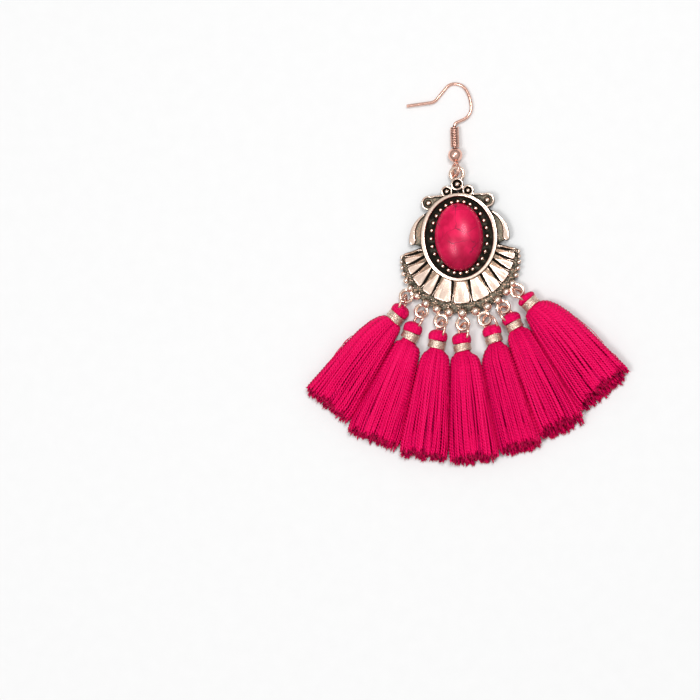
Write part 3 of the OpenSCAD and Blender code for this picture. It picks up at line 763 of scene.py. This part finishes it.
class EARRING_OT_stone(bpy.types.Operator):
    """The oval cabochon"""
    bl_idname = "earring.stone"
    bl_label = "Stone"

    def execute(self, context):
        s = context.scene.earring_stone
        size = Vector(STONE_HIGH) - Vector(STONE_LOW)
        wall, bevel = 0.8 * MM, 0.25 * MM
        focus()
        bpy.ops.mesh.primitive_uv_sphere_add(segments=96, ring_count=64, radius=1, location=(0, 0, 0))
        obj = bpy.context.active_object
        with editing():
            bpy.ops.transform.resize(value=(size.x / 2, size.y / 2, size.z - wall))
            bpy.ops.mesh.bisect(plane_co=(0, 0, 0), plane_no=UP, clear_inner=True)
            bpy.ops.mesh.extrude_region_move(TRANSFORM_OT_translate={"value": (0, 0, -wall)})
            bpy.ops.mesh.edge_face_add()
            bpy.ops.mesh.inset(thickness=bevel)
            bpy.ops.mesh.select_all(action="SELECT")
            bpy.ops.mesh.remove_doubles(threshold=1e-7)
            face_outwards()
            bpy.ops.transform.translate(value=(CENTRE.x, CENTRE.y, STONE_LOW[2] + wall))
        smooth(settle(obj, "cabochon"), 50)
        dress(obj, dyed_stone(s.body, s.cloud, s.vein))
        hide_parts("stone")
        return {"FINISHED"}


# ---------------------------------------------------------------- jump rings


# A ring's cut shows on one side: left of the middle tassel on the left, and else on the right
RING_CUT_LEFT, RING_CUT_RIGHT = math.radians(250), math.radians(110)


def ring_plane(i):
    """A jump ring's points, its middle and its axis, from its solid."""
    spots = mesh_values(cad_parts[f"jump_ring_{i}"], "co")
    middle = (spots.min(axis=0) + spots.max(axis=0)) / 2
    return spots, middle, np.linalg.svd(spots - middle, full_matrices=False)[2][2]


class EARRING_OT_rings(bpy.types.Operator):
    """The seven jump rings, each cut open and pressed shut"""
    bl_idname = "earring.rings"
    bl_label = "Jump rings"
    STEPS = 72

    def execute(self, context):
        s = context.scene.earring_metal
        copper = bpy.data.materials["copper_plated_drawn_wire_coil_shade"]
        for i in TASSELS:
            ring = bent_wire(f"ring_{i}", self.path(i, s), s.ring_wire_r, 4)
            dress(ring, copper)
            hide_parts(f"jump_ring_{i}")
        return {"FINISHED"}

    def path(self, i, s):
        """Points round a ring, from one cut end to the other, which lie a little past each other."""
        spots, middle, axis = ring_plane(i)
        normal = axis * np.sign(axis[2] or 1)
        down = bearings(LEANS[i - 1])[0]
        u = down - normal * (down @ normal)
        u /= np.linalg.norm(u)
        v = np.cross(normal, u)
        radius = np.linalg.norm(spots - middle, axis=1).max() - s.ring_wire_r
        start = RING_CUT_LEFT if i < (COUNT + 1) / 2 else RING_CUT_RIGHT
        gap = s.ring_gap / radius
        path = []
        for part in np.arange(self.STEPS + 1) / self.STEPS:
            a = start + gap / 2 + (2 * math.pi - gap) * part
            shift = 0.05 * MM * (part - 0.5)
            path.append(Vector(middle + radius * (math.cos(a) * u + math.sin(a) * v) + normal * shift))
        return path


# ---------------------------------------------------------------- threads

# Painted light and shade: how much lighter a thread is on the crest of a ply than between two
PLY_SHADE = 0.22
# Painted shade: how much darker a thread is at its sides, where it meets the next, than on top
SIDE_SHADE = 0.42
# Where the skirt's threads start, from the binding's middle downwards
SKIRT_TOP = -0.9 * MM
# The share of a looped thread in the head that each of its legs takes
LEG = 0.3


class Bundle:
    """Collects tubes into one mesh, with a tone for each thread, painted light and shade across its plies,
    and a map of turn and run along it.
    """

    def __init__(self):
        self.points, self.quads, self.caps, self.quad_uv, self.tones = [], [], [], [], []
        self.count = 0

    def tubes(self, paths, radii, sides, tone, lobe=0.0, wind=None):
        """Tubes along paths (thread, ring, xyz). A lobe above 0 gives two plies that wind by an angle, with
        painted light on their crests and painted shade at the sides.
        """
        count, rings, _ = paths.shape
        heading = np.gradient(paths, axis=1)
        heading /= np.linalg.norm(heading, axis=2, keepdims=True) + 1e-12
        side = np.cross(heading, np.array([0, 0, 1.0]))
        side /= np.linalg.norm(side, axis=2, keepdims=True) + 1e-9
        other = np.cross(side, heading)
        angle = 2 * math.pi * np.arange(sides) / sides
        swell = 1 + lobe * np.cos(2 * (angle - wind[:, :, None])) if lobe else 1.0
        reach = radii[:, :, None] * swell
        points = (paths[:, :, None] + (reach * np.cos(angle))[..., None] * side[:, :, None]
                  + (reach * np.sin(angle))[..., None] * other[:, :, None])
        points[..., 2] = np.maximum(points[..., 2], 0.01 * MM)
        self.points += [points.reshape(-1, 3), points[:, 0].mean(axis=1), points[:, -1].mean(axis=1)]
        # Walls: each quad with its map of turn and run
        start = self.count + np.arange(count)[:, None] * rings * sides
        here = np.arange(sides)
        after = (here + 1) % sides
        low = start[..., None] + np.arange(rings - 1)[:, None] * sides
        a, b = low + here, low + after
        self.quads.append(np.stack([a, a + sides, b + sides, b], -1).reshape(-1, 4))
        run = travelled(paths)[..., None] / MM
        u0, v0, v1 = np.broadcast_arrays(here / sides, run[:, :-1], run[:, 1:])
        u1 = u0 + 1 / sides
        corners = [np.stack(pair, -1) for pair in ((u0, v0), (u0, v1), (u1, v1), (u1, v0))]
        self.quad_uv.append(np.stack(corners, -2).reshape(-1, 4, 2))
        # Ends: a fan of triangles round each pole
        tip = self.count + count * rings * sides + np.arange(count)[:, None]
        end = start + (rings - 1) * sides
        for fan in ((tip, start + here, start + after), (tip + count, end + after, end + here)):
            self.caps.append(np.stack(np.broadcast_arrays(*fan), -1).reshape(-1, 3))
        tones = np.broadcast_to(tone, (count,))
        # Painted light on the plies' crests and painted shade at the tube's sides, added to the tone
        crest = np.zeros((count, rings, sides))
        if lobe:
            crest = (swell - 1) / lobe * PLY_SHADE
            crest = crest - SIDE_SHADE * (1 - np.clip(np.sin(angle), 0, 1)) ** 1.5
        self.tones += [(tones[:, None, None] + crest).ravel(), np.tile(tones, 2)]
        self.count = tip[-1, 0] + 1 + count

    def build(self, name):
        """The tubes as one object."""
        points, quads, caps = (np.concatenate(rows) for rows in (self.points, self.quads, self.caps))
        mesh = bpy.data.meshes.new(name)
        mesh.vertices.add(len(points))
        mesh.vertices.foreach_set("co", points.ravel())
        mesh.loops.add(quads.size + caps.size)
        corners = np.concatenate([quads.ravel(), caps.ravel()])
        mesh.loops.foreach_set("vertex_index", corners.astype(np.int32))
        mesh.polygons.add(len(quads) + len(caps))
        starts = np.concatenate([np.arange(len(quads)) * 4, quads.size + np.arange(len(caps)) * 3])
        mesh.polygons.foreach_set("loop_start", starts.astype(np.int32))
        mesh.update(calc_edges=True)
        uv = np.zeros((len(corners), 2), dtype=np.float32)
        uv[:quads.size] = np.concatenate(self.quad_uv).reshape(-1, 2)
        mesh.uv_layers.new(name="run").data.foreach_set("uv", uv.ravel())
        store(mesh, "tone", np.concatenate(self.tones))
        mesh.validate()
        obj = bpy.data.objects.new(name, mesh)
        bpy.context.scene.collection.objects.link(obj)
        smooth(obj)
        return obj


class Form:
    """The solid form of one tassel, measured by rays, so that threads can be laid on it."""
    POINTS = 64
    STATIONS = 30

    def __init__(self, i):
        low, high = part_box(f"binding_{i}")
        self.neck = (Vector(low) + Vector(high)) / 2
        self.down, self.right = map(Vector, bearings(LEANS[i - 1]))
        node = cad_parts[f"tassel_{i}"]
        self.tree = tree_of(node)
        self.cut = CUTS[i - 1]
        self.spread = SPREADS[i - 1]
        # The two outermost tassels are straighter on their outer sides
        self.straight = {1: 0.75, COUNT: 0.25}.get(i)
        reach = (mesh_values(node, "co") - np.array(self.neck)) @ np.array(self.down)
        self.top, self.end = reach.min(), reach.max()
        self.stations = np.linspace(SKIRT_TOP, self.end - 2.5 * MM, self.STATIONS)
        self.grid = np.array([self.section(s) for s in self.stations])

    def ray(self, s, x, z, way):
        """Distance from a point inside the form to its surface."""
        start = self.neck + self.down * s + self.right * x
        start.z = z
        hit = self.tree.ray_cast(start, way)
        return hit[3] if hit[3] is not None else 0.5 * MM

    def section(self, s):
        """Outline of the form at s, from the top over the right side: x and z."""
        z0 = self.neck.z
        high, low = z0 + self.ray(s, 0, z0, UP), z0 - self.ray(s, 0, z0, -UP)
        zc = (high + low) / 2
        xc = (self.ray(s, 0, zc, self.right) - self.ray(s, 0, zc, -self.right)) / 2
        outline = []
        for a in np.linspace(0, 2 * math.pi, 97):
            d = self.ray(s, xc, zc, self.right * math.sin(a) + UP * math.cos(a))
            outline.append((xc + d * math.sin(a), zc + d * math.cos(a)))
        outline = np.array(outline)
        # The same number of points on each quarter, evenly spaced along it
        parts = []
        for q in range(4):
            piece = outline[q * 24:q * 24 + 25]
            run = travelled(piece[None])[0]
            want = np.linspace(0, run[-1], self.POINTS // 4 + 1)[:-1]
            parts.append(np.stack([np.interp(want, run, piece[:, k]) for k in (0, 1)], 1))
        return np.concatenate(parts)

    def on(self, s, t, inward):
        """Points at distance s along the form and share t round it, drawn in by a length."""
        js = np.interp(s, self.stations, np.arange(self.STATIONS))
        j = np.minimum(js.astype(int), self.STATIONS - 2)
        far = (js - j)[..., None]
        tm = (t % 1) * self.POINTS
        m = tm.astype(int) % self.POINTS
        n = (m + 1) % self.POINTS
        turn = (tm - np.floor(tm))[..., None]
        g = self.grid

        def between(here, after):
            return (1 - far) * here + far * after

        flat = between((1 - turn) * g[j, m] + turn * g[j, n], (1 - turn) * g[j + 1, m] + turn * g[j + 1, n])
        low = between(g[j].min(axis=-2), g[j + 1].min(axis=-2))
        high = between(g[j].max(axis=-2), g[j + 1].max(axis=-2))
        centre, half = (low + high) / 2, (high - low) / 2
        if self.straight is not None:
            side = np.clip(np.cos(2 * math.pi * (t - self.straight)), 0, 1)
            inward = inward + 0.45 * MM * side * np.sin(math.pi * np.clip(s / self.end, 0, 1))
        off = (flat - centre) * (1 - np.asarray(inward)[..., None] / half)
        off[..., 0] *= 1 + np.where(off[..., 0] < 0, *self.spread) * ease(s / (6 * MM))
        flat = centre + off
        return self.world(s, flat[..., 0], flat[..., 1])

    def world(self, s, x, z):
        """Points at distance s along the form, x to its right and z above the table."""
        neck, down, right = (np.array(v) for v in (self.neck, self.down, self.right))
        spots = neck + s[..., None] * down + x[..., None] * right
        spots[..., 2] = z
        return spots

    def perimeter(self):
        loop = np.concatenate([self.grid[-1], self.grid[-1][:1]])
        return np.linalg.norm(np.diff(loop, axis=0), axis=1).sum()


def plied(run, s, start):
    """How far the plies have turned after a run along a thread."""
    return 2 * math.pi * run / s.twist + start


class EARRING_OT_tassels(bpy.types.Operator):
    """The seven tassels, thread by thread"""
    bl_idname = "earring.tassels"
    bl_label = "Tassels"

    def execute(self, context):
        s = context.scene.earring_thread
        floss = thread_floss(s.body, s.deep)
        inner = inner_floss_painted_shade(s.deep)
        for i in TASSELS:
            rng = np.random.default_rng(40 + i)
            form = Form(i)
            bundle = Bundle()
            ends = self.skirt(form, bundle, s, rng)
            self.inside(form, bundle, s, rng, ends)
            self.fuzz(bundle, rng, ends)
            self.loose_fibres(form, bundle, rng)
            self.head(form, bundle, s, rng, i)
            dress(self.core(form, i), inner)
            threads = bundle.build(f"tassel_{i}_threads")
            dress(threads, floss)
            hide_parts(f"tassel_{i}")
        return {"FINISHED"}

    def core(self, form, i):
        """The form below the neck, shrunk: it stops the light between the threads."""
        core = merged_copy(f"tassel_{i}", f"tassel_{i}_core")
        with editing():
            bpy.ops.mesh.bisect(plane_co=form.neck - form.down * SKIRT_TOP, plane_no=form.down,
                                use_fill=True, clear_inner=True)
            face_outwards()
            bpy.ops.transform.shrink_fatten(value=-0.85 * MM)
        return core

    def skirt(self, form, bundle, s, rng):
        """The threads that show: an outer layer laid in locks, and a fuller one under it."""
        ends = []
        count = max(24, round(form.perimeter() / (s.width * 0.93)))
        locks = 11
        edges = (np.arange(locks) + rng.uniform(-0.22, 0.22, locks)) / locks
        edges = np.sort(edges % 1)
        lock_tone = rng.uniform(-0.08, 0.08, locks)
        for under, depth, share_in in ((False, 0.0, 1.0), (True, 0.30 * MM, 0.75)):
            n = round(count * share_in)
            t = (np.arange(n) + rng.uniform(-0.18, 0.18, n) + 0.5 * under) / n
            k = np.searchsorted(edges, t % 1) % locks
            low = edges[k - 1]
            width = (edges[k] - low) % 1
            off = (t - (low + width / 2) + 0.5) % 1 - 0.5
            tops = np.sin((t % 1 - 0.25) * 2 * math.pi) < 0.35
            # The under layer's threads get painted shade: a tone 0.3 lower
            tone = lock_tone[k] - 0.3 * under
            for show in (True, False):
                pick = np.where(tops if show else ~tops)[0]
                fine = show and not under
                self.lay(form, bundle, s, rng, fine, t[pick, None], off[pick, None], width[pick, None],
                         tone[pick], depth, count, ends)
        return ends

    def lay(self, form, bundle, s, rng, fine, t, off, width, tone, depth, count, ends):
        """Lays threads at shares t round the form, off their lock's middle, and notes their cut ends."""
        def each(low, high):
            return rng.uniform(low, high, (len(t), 1))

        step = (0.19) if fine else 0.75
        rings = round((form.end - SKIRT_TOP) / MM / step)
        along = np.linspace(0, 1, rings)[None, :]
        height = form.on(np.full((len(t), 1), form.stations[-1]), t, 0.2 * MM)[..., 2]
        uneven = 0.5 * np.sin(t * 40 + rng.uniform(0, 6.3)) + each(-1.3, 1)
        end = form.end + 0.75 * MM - form.cut * height + uneven * s.fray
        run = SKIRT_TOP + (end - SKIRT_TOP) * along
        far = run / form.end
        # Threads draw together towards the middle of their lock, and sway a little
        pull = s.lock * ease(far * 1.5 - 0.2) * each(0.8, 1.15)
        sway = 0.12 * np.sin(far * each(2, 5) + each(0, 6.3))
        sway += 0.08 * np.sin(far * each(8, 14) + each(0, 6.3))
        where = t - off * pull + sway * ease(far * 2) / count * 1.4
        radius = s.width / 2 * (0.55 + 0.41 * ease(run / (5 * MM))) * each(0.9, 1.06)
        # They lie deeper where two locks meet
        groove = np.abs(off) / (width / 2)
        sink = depth * ease(0.3 + run / (4 * MM)) + groove ** 3 * 0.10 * MM * ease(far * 3)
        sink = sink + each(0, 0.13) * MM
        path = form.on(run, where, radius * 1.18 + sink)
        wind = plied(run, s, each(0, 6.3))
        radius = radius * np.where(along > 0.985, 0.8, 1.0)
        tone = rng.uniform(0.36, 0.72, len(t)) + tone
        bundle.tubes(path, radius, 6 if fine else 5, tone, 0.36, wind)
        ends.append((path[:, -1], path[:, -1] - path[:, -4]))

    def inside(self, form, bundle, s, rng, ends):
        """Short ends of the threads within, which the cut shows."""
        base = form.grid[-1]
        centre = (base.min(axis=0) + base.max(axis=0)) / 2
        begin = form.end - 5 * MM
        for level in (0.78, 0.55, 0.3, 0.1):
            n = max(6, round(form.perimeter() * level / (s.width * 0.95)))
            t = (np.arange(n) + rng.uniform(-0.3, 0.3, n)) / n
            m = ((t % 1) * form.POINTS).astype(int) % form.POINTS
            flat = centre + (base[m] - centre) * level
            end = form.end + 0.7 * MM - form.cut * flat[:, 1] + rng.uniform(-1.5, 0.8, n) * s.fray
            run = begin + (end[:, None] - begin) * np.linspace(0, 1, 9)
            path = form.world(run, *(np.broadcast_to(flat[:, k:k + 1], run.shape) for k in (0, 1)))
            wind = plied(run, s, rng.uniform(0, 6.3, (n, 1)))
            # The threads within get painted shade: lower tones than the outer ones
            bundle.tubes(path, np.full(run.shape, s.width / 2), 5, rng.uniform(0.15, 0.55, n), 0.2, wind)
            ends.append((path[:, -1], path[:, -1] - path[:, -2]))

    def fuzz(self, bundle, rng, ends):
        """Five fibres that flare out of each cut end."""
        spots, ways = (np.repeat(np.concatenate(rows), 5, 0) for rows in zip(*ends))
        ways = ways / np.linalg.norm(ways, axis=1)[:, None]
        n = len(spots)
        spray = rng.normal(size=(n, 3)) * 0.45
        size = rng.uniform(0.2, 0.6, (n, 1)) * MM
        start = spots - ways * 0.25 * MM + rng.normal(size=(n, 3)) * 0.07 * MM
        reach = ways + spray
        reach /= np.linalg.norm(reach, axis=1)[:, None]
        bend = rng.normal(size=(n, 3)) * 0.1
        path = np.stack([start, start + reach * size * 0.6, start + (reach + bend) * size * 1.2], 1)
        path[..., 2] = np.maximum(path[..., 2], 0.06 * MM)
        radii = np.array([0.09, 0.065, 0.02])[None, :] * MM * rng.uniform(0.7, 1.2, (n, 1))
        bundle.tubes(path, radii, 3, rng.uniform(0.2, 0.7, n))

    def loose_fibres(self, form, bundle, rng):
        """A few fibres that have come away along the sides."""
        n, r = 7, 0.06 * MM
        t = np.where(rng.uniform(size=n) < 0.5, 0.25, 0.75) + rng.uniform(-0.09, 0.02, n)
        begin = rng.uniform(0.25, 0.75, (n, 1)) * form.end
        along = np.linspace(0, 1, 12)[None, :]
        run = np.minimum(begin + rng.uniform(3, 8, (n, 1)) * MM * along, form.end - 0.5 * MM)
        out = 0.25 * np.sin(along * math.pi) * rng.uniform(0.3, 1, (n, 1)) * MM
        where = t[:, None] + 0.02 * np.sin(along * 5 + rng.uniform(0, 6, (n, 1)))
        path = form.on(run, where, 0.05 * MM - out)
        path[..., 2] = np.maximum(path[..., 2], 0.08 * MM)
        bundle.tubes(path, np.full(run.shape, r), 4, rng.uniform(0.4, 0.8, n))

    def head(self, form, bundle, s, rng, i):
        """Threads looped over the jump ring: arcs round the ring's wire, with legs down to the neck."""
        spots, ring_middle, axis = ring_plane(i)
        wire = form.down.cross(Vector(axis))
        wire -= form.down * wire.dot(form.down)
        wire.normalize()
        if wire.z < 0:
            wire = -wire
        cross = form.down.cross(wire)
        cross.normalize()
        legs_end = 1.02 * MM
        height = form.top / 2 - legs_end / 2
        middle = form.neck + form.down * height
        thick = s.width * 0.29
        profile = self.round_form(form, middle)
        layers = []
        # Three layers, each its depth and the angle from the ring's wire that its first thread lies at
        for deep, first in ((0.0, 4), (0.32 * MM, 7), (0.64 * MM, 5)):
            inward, room = thick * 1.1 + deep, thick * 0.7 + (0.29 if deep else 0.30) * MM
            paths = [self.loop(form, middle, cross, wire, psi, legs_end + height, inward, profile)
                     for psi in np.arange(math.radians(first), math.radians(177), 0.125)]
            layers.append(self.beside_ring(np.array(paths), spots, ring_middle, axis, room))
        paths = np.concatenate(layers)
        n = len(paths)
        wind = plied(travelled(paths), s, rng.uniform(0, 6.3, (n, 1)))
        radii = np.full(wind.shape, thick) * rng.uniform(0.92, 1.08, (n, 1))
        # Threads in the lower two layers get painted shade: a tone 0.2 lower
        tone = rng.uniform(0.42, 0.80, n) - 0.2 * (np.arange(n) >= len(layers[0]))
        bundle.tubes(paths, radii, 6, tone, 0.2, wind)

    def round_form(self, form, middle):
        """The head's reach by angle from its top, measured past the channel that the ring runs in."""
        far = 5 * MM
        leans = np.linspace(0, math.pi / 2, 19)
        spins = [form.right * math.cos(a) + UP * math.sin(a) for a in np.linspace(0, 6.1, 20)]
        reach = []
        for lean in leans:
            ways = [w * math.sin(lean) - form.down * math.cos(lean) for w in spins]
            hits = [form.tree.ray_cast(middle + w * far, -w)[3] for w in ways]
            reach.append(far - min(hit for hit in hits if hit is not None))
        return leans, reach

    def loop(self, form, middle, cross, wire, psi, leg_length, inward, profile):
        """One thread over the ring, at an angle psi from its wire: leg, arc and leg."""
        rings = 24
        path = []
        for k in range(rings):
            p = k / (rings - 1)
            base, pull = middle, 1
            if p < LEG or p > 1 - LEG:
                leg, hand = ((LEG - p) / LEG, 1) if p < LEG else ((p - (1 - LEG)) / LEG, -1)
                way = cross * (math.sin(psi) * hand) + wire * math.cos(psi)
                base = middle + form.down * (leg * (-leg_length + 0.12 * MM))
                pull = 1 - 0.10 * leg ** 3
            else:
                a = math.pi * (p - LEG) / (1 - 2 * LEG)
                way = (cross * math.cos(a) - form.down * math.sin(a)) * math.sin(psi) + wire * math.cos(psi)
            way.normalize()
            out = np.interp(math.acos(max(-1, min(1, -way.dot(form.down)))), *profile)
            path.append(base + way * ((out - inward) * pull))
        path = np.array(path)
        for _ in range(2):
            path[1:-1] = (path[:-2] + 2 * path[1:-1] + path[2:]) / 4
        return path

    def beside_ring(self, paths, spots, middle, axis, room):
        """Moves thread points out of the ring's wire, so that the threads close round it."""
        around = np.linalg.norm(spots - middle, axis=1)
        radius = (around.max() + around.min()) / 2
        off = paths - middle
        flat = off - (off @ axis)[..., None] * axis
        near = middle + radius * flat / np.linalg.norm(flat, axis=-1, keepdims=True)
        away = paths - near
        far = np.linalg.norm(away, axis=-1, keepdims=True)
        return np.where(far < room, near + away / far * room, paths)


# ---------------------------------------------------------------- bindings

# The yarn's windings: turns, reach each way from the middle, radius, slant and the yarn's radius, in
# millimetres. The first is the even one, and the other two slant over it and hold it.
WINDINGS = ((9, 0.76, 1.70, 0.0, 0.115), (2, 0.10, 1.79, 0.85, 0.10), (2, 0.05, 1.81, -0.7, 0.085))
# Half the binding's length, and the length of one turn of the yarn's own twist
BINDING_HALF, YARN_TWIST = 0.82, 0.6


class EARRING_OT_bindings(bpy.types.Operator):
    """Metallic yarn wound round each tassel's neck"""
    bl_idname = "earring.bindings"
    bl_label = "Bindings"

    def execute(self, context):
        s = context.scene.earring_thread
        yarn = metallic_yarn(s.gold, s.gold_seam_shade)
        core = yarn_core(s.gold)
        for i in TASSELS:
            under = merged_copy(f"binding_{i}", f"binding_{i}_under")
            with editing():
                bpy.ops.transform.shrink_fatten(value=-0.12 * MM)
            smooth(under, 40)
            dress(under, core)
            wound = self.wind(i).build(f"binding_{i}_yarn")
            dress(wound, yarn)
            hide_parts(f"binding_{i}")
        return {"FINISHED"}

    def wind(self, i):
        """The windings of one binding, in the order that they are wound."""
        rng = np.random.default_rng(70 + i)
        low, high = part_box(f"binding_{i}")
        middle = (np.array(low) + np.array(high)) / 2
        down, right = bearings(LEANS[i - 1] + SLANTS[i - 1])
        bundle = Bundle()
        steps = 32
        for turns, wide, r, slant, thick in WINDINGS:
            k = np.arange(turns * steps + 1)
            a = 2 * math.pi * k / steps + rng.uniform(0, 6.28)
            wobble = np.interp(k / steps, np.arange(turns + 1), rng.uniform(-0.05, 0.05, turns + 1))
            at = -wide + 2 * wide * (k / (turns * steps)) + wobble + slant * np.sin(a + 0.7 * i) * 0.8
            at = np.clip(at, -BINDING_HALF, BINDING_HALF)
            out = right * np.cos(a)[:, None] + np.array(UP) * np.sin(a)[:, None]
            radius = r + 0.03 * np.sin(a * 2 + i)
            path = middle + (down * at[:, None] + out * radius[:, None]) * MM
            wind = 2 * math.pi * k * 2 * math.pi * r / steps / YARN_TWIST
            bundle.tubes(path[None], np.full((1, len(k)), thick * MM), 6, np.array([0.5]), 0.22, wind[None])
        return bundle


# ---------------------------------------------------------------- stage

LENS = 135.0
SENSOR = 36.0
# The photograph: its side and where the stone's middle lies in it, in pixels, and its scale and turn
PICTURE = 700
STONE_PIXEL = (458.9, 236.9)
PIXELS_PER_MM = 4.83
PICTURE_TURN = math.radians(2.64)
STONE_HEIGHT = 2.4
# Soft round lamps: place in metres, size and share of the power
LAMPS = {"overhead": ((0.168, 0.205, 0.765), 0.24, 1.0), "left": ((-0.272, -0.173, 0.742), 0.28, 0.72)}
# The room is bright overhead and darker near the table, so that metal shows both
SKY = ((0.0, (0.34, 0.33, 0.33)), (0.25, (0.52, 0.52, 0.52)), (0.6, (0.84, 0.84, 0.84)), (1.0, (1, 1, 1)))


class EARRING_OT_stage(bpy.types.Operator):
    """Floor, lights and the camera at the photograph's angle"""
    bl_idname = "earring.stage"
    bl_label = "Stage"

    def execute(self, context):
        s = context.scene.earring_stage
        self.floor(s)
        self.camera(context, s)
        self.lights(context, s)
        context.scene.view_settings.view_transform = "Standard"
        return {"FINISHED"}

    def floor(self, s):
        focus()
        bpy.ops.mesh.primitive_plane_add(size=3, location=(0, 0, 0))
        floor = settle(bpy.context.active_object, "table")
        mat, tree, shader, spot = surface("matt_white_board", {"Roughness": 0.9, "Specular IOR Level": 0.2})
        tint = ramp(tree, noise(tree, spot, 3), [(0.3, shade(s.floor, 0.985)), (0.7, s.floor)])
        give(tree, shader, {"Base Color": tint})
        floor.data.materials.append(mat)

    def camera(self, context, s):
        """Puts the stone's middle at its own pixel, at the photograph's scale, turn and lean."""
        back = Vector((s.lean[0], s.lean[1], 1)).normalized()
        right = Vector((math.cos(PICTURE_TURN), -math.sin(PICTURE_TURN), 0))
        right = (right - back * right.dot(back)).normalized()
        up = back.cross(right)
        focal = PICTURE * LENS / SENSOR
        depth = focal * MM / PIXELS_PER_MM
        across = (STONE_PIXEL[0] - PICTURE / 2) / focal * depth
        above = (PICTURE / 2 - STONE_PIXEL[1]) / focal * depth
        at = place(0, 0, STONE_HEIGHT) - right * across - up * above + back * depth
        data = bpy.data.cameras.new("camera")
        data.lens, data.sensor_width = LENS, SENSOR
        data.clip_start, data.clip_end = 0.01, 20
        camera = bpy.data.objects.new("camera", data)
        context.scene.collection.objects.link(camera)
        camera.matrix_world = Matrix.Translation(at) @ Matrix((right, up, back)).transposed().to_4x4()
        context.scene.camera = camera

    def lights(self, context, s):
        for name, (spot, size, power) in LAMPS.items():
            data = bpy.data.lights.new(name, "AREA")
            data.shape, data.size = "DISK", size
            data.energy = s.light * power
            lamp = bpy.data.objects.new(name, data)
            lamp.location = spot
            lamp.rotation_euler = (-Vector(spot)).to_track_quat("-Z", "Y").to_euler()
            context.scene.collection.objects.link(lamp)
        world = bpy.data.worlds.new("room")
        world.use_nodes = True
        tree = world.node_tree
        way = put(tree, "SeparateXYZ", {"Vector": put(tree, "TexCoord").outputs["Generated"]})
        sky = ramp(tree, way.outputs["Z"], SKY)
        give(tree, tree.nodes["Background"], {"Color": sky, "Strength": s.fill})
        context.scene.world = world


class EARRING_PT_panel(bpy.types.Panel):
    """All pieces of the earring"""
    bl_idname = "EARRING_PT_panel"
    bl_label = "Earring"
    bl_space_type = "VIEW_3D"
    bl_region_type = "UI"
    bl_category = "Earring"

    def draw(self, context):
        for group, step in STEPS:
            settings = getattr(context.scene, group)
            box = self.layout.box()
            for key in settings.bl_rna.properties.keys():
                if key not in ("rna_type", "name"):
                    box.prop(settings, key)
            box.operator(step)


STEPS = (("earring_stage", "earring.stage"), ("earring_metal", "earring.hook"),
         ("earring_metal", "earring.casting"), ("earring_stone", "earring.stone"),
         ("earring_metal", "earring.rings"), ("earring_thread", "earring.tassels"),
         ("earring_thread", "earring.bindings"))
GROUPS = {"earring_stage": StageSettings, "earring_metal": MetalSettings, "earring_stone": StoneSettings,
          "earring_thread": ThreadSettings}
CLASSES = (*GROUPS.values(), EARRING_OT_stage, EARRING_OT_hook, EARRING_OT_casting, EARRING_OT_stone,
           EARRING_OT_rings, EARRING_OT_tassels, EARRING_OT_bindings, EARRING_PT_panel)


def register():
    for cls in CLASSES:
        bpy.utils.register_class(cls)
    for name, group in GROUPS.items():
        setattr(bpy.types.Scene, name, bpy.props.PointerProperty(type=group))


def unregister():
    for name in GROUPS:
        delattr(bpy.types.Scene, name)
    for cls in reversed(CLASSES):
        bpy.utils.unregister_class(cls)


def main():
    register()
    bpy.ops.earring.stage()
    bpy.ops.earring.hook()
    bpy.ops.earring.casting()
    bpy.ops.earring.stone()
    bpy.ops.earring.rings()
    bpy.ops.earring.tassels()
    bpy.ops.earring.bindings()


if __name__ == "__main__":
    main()
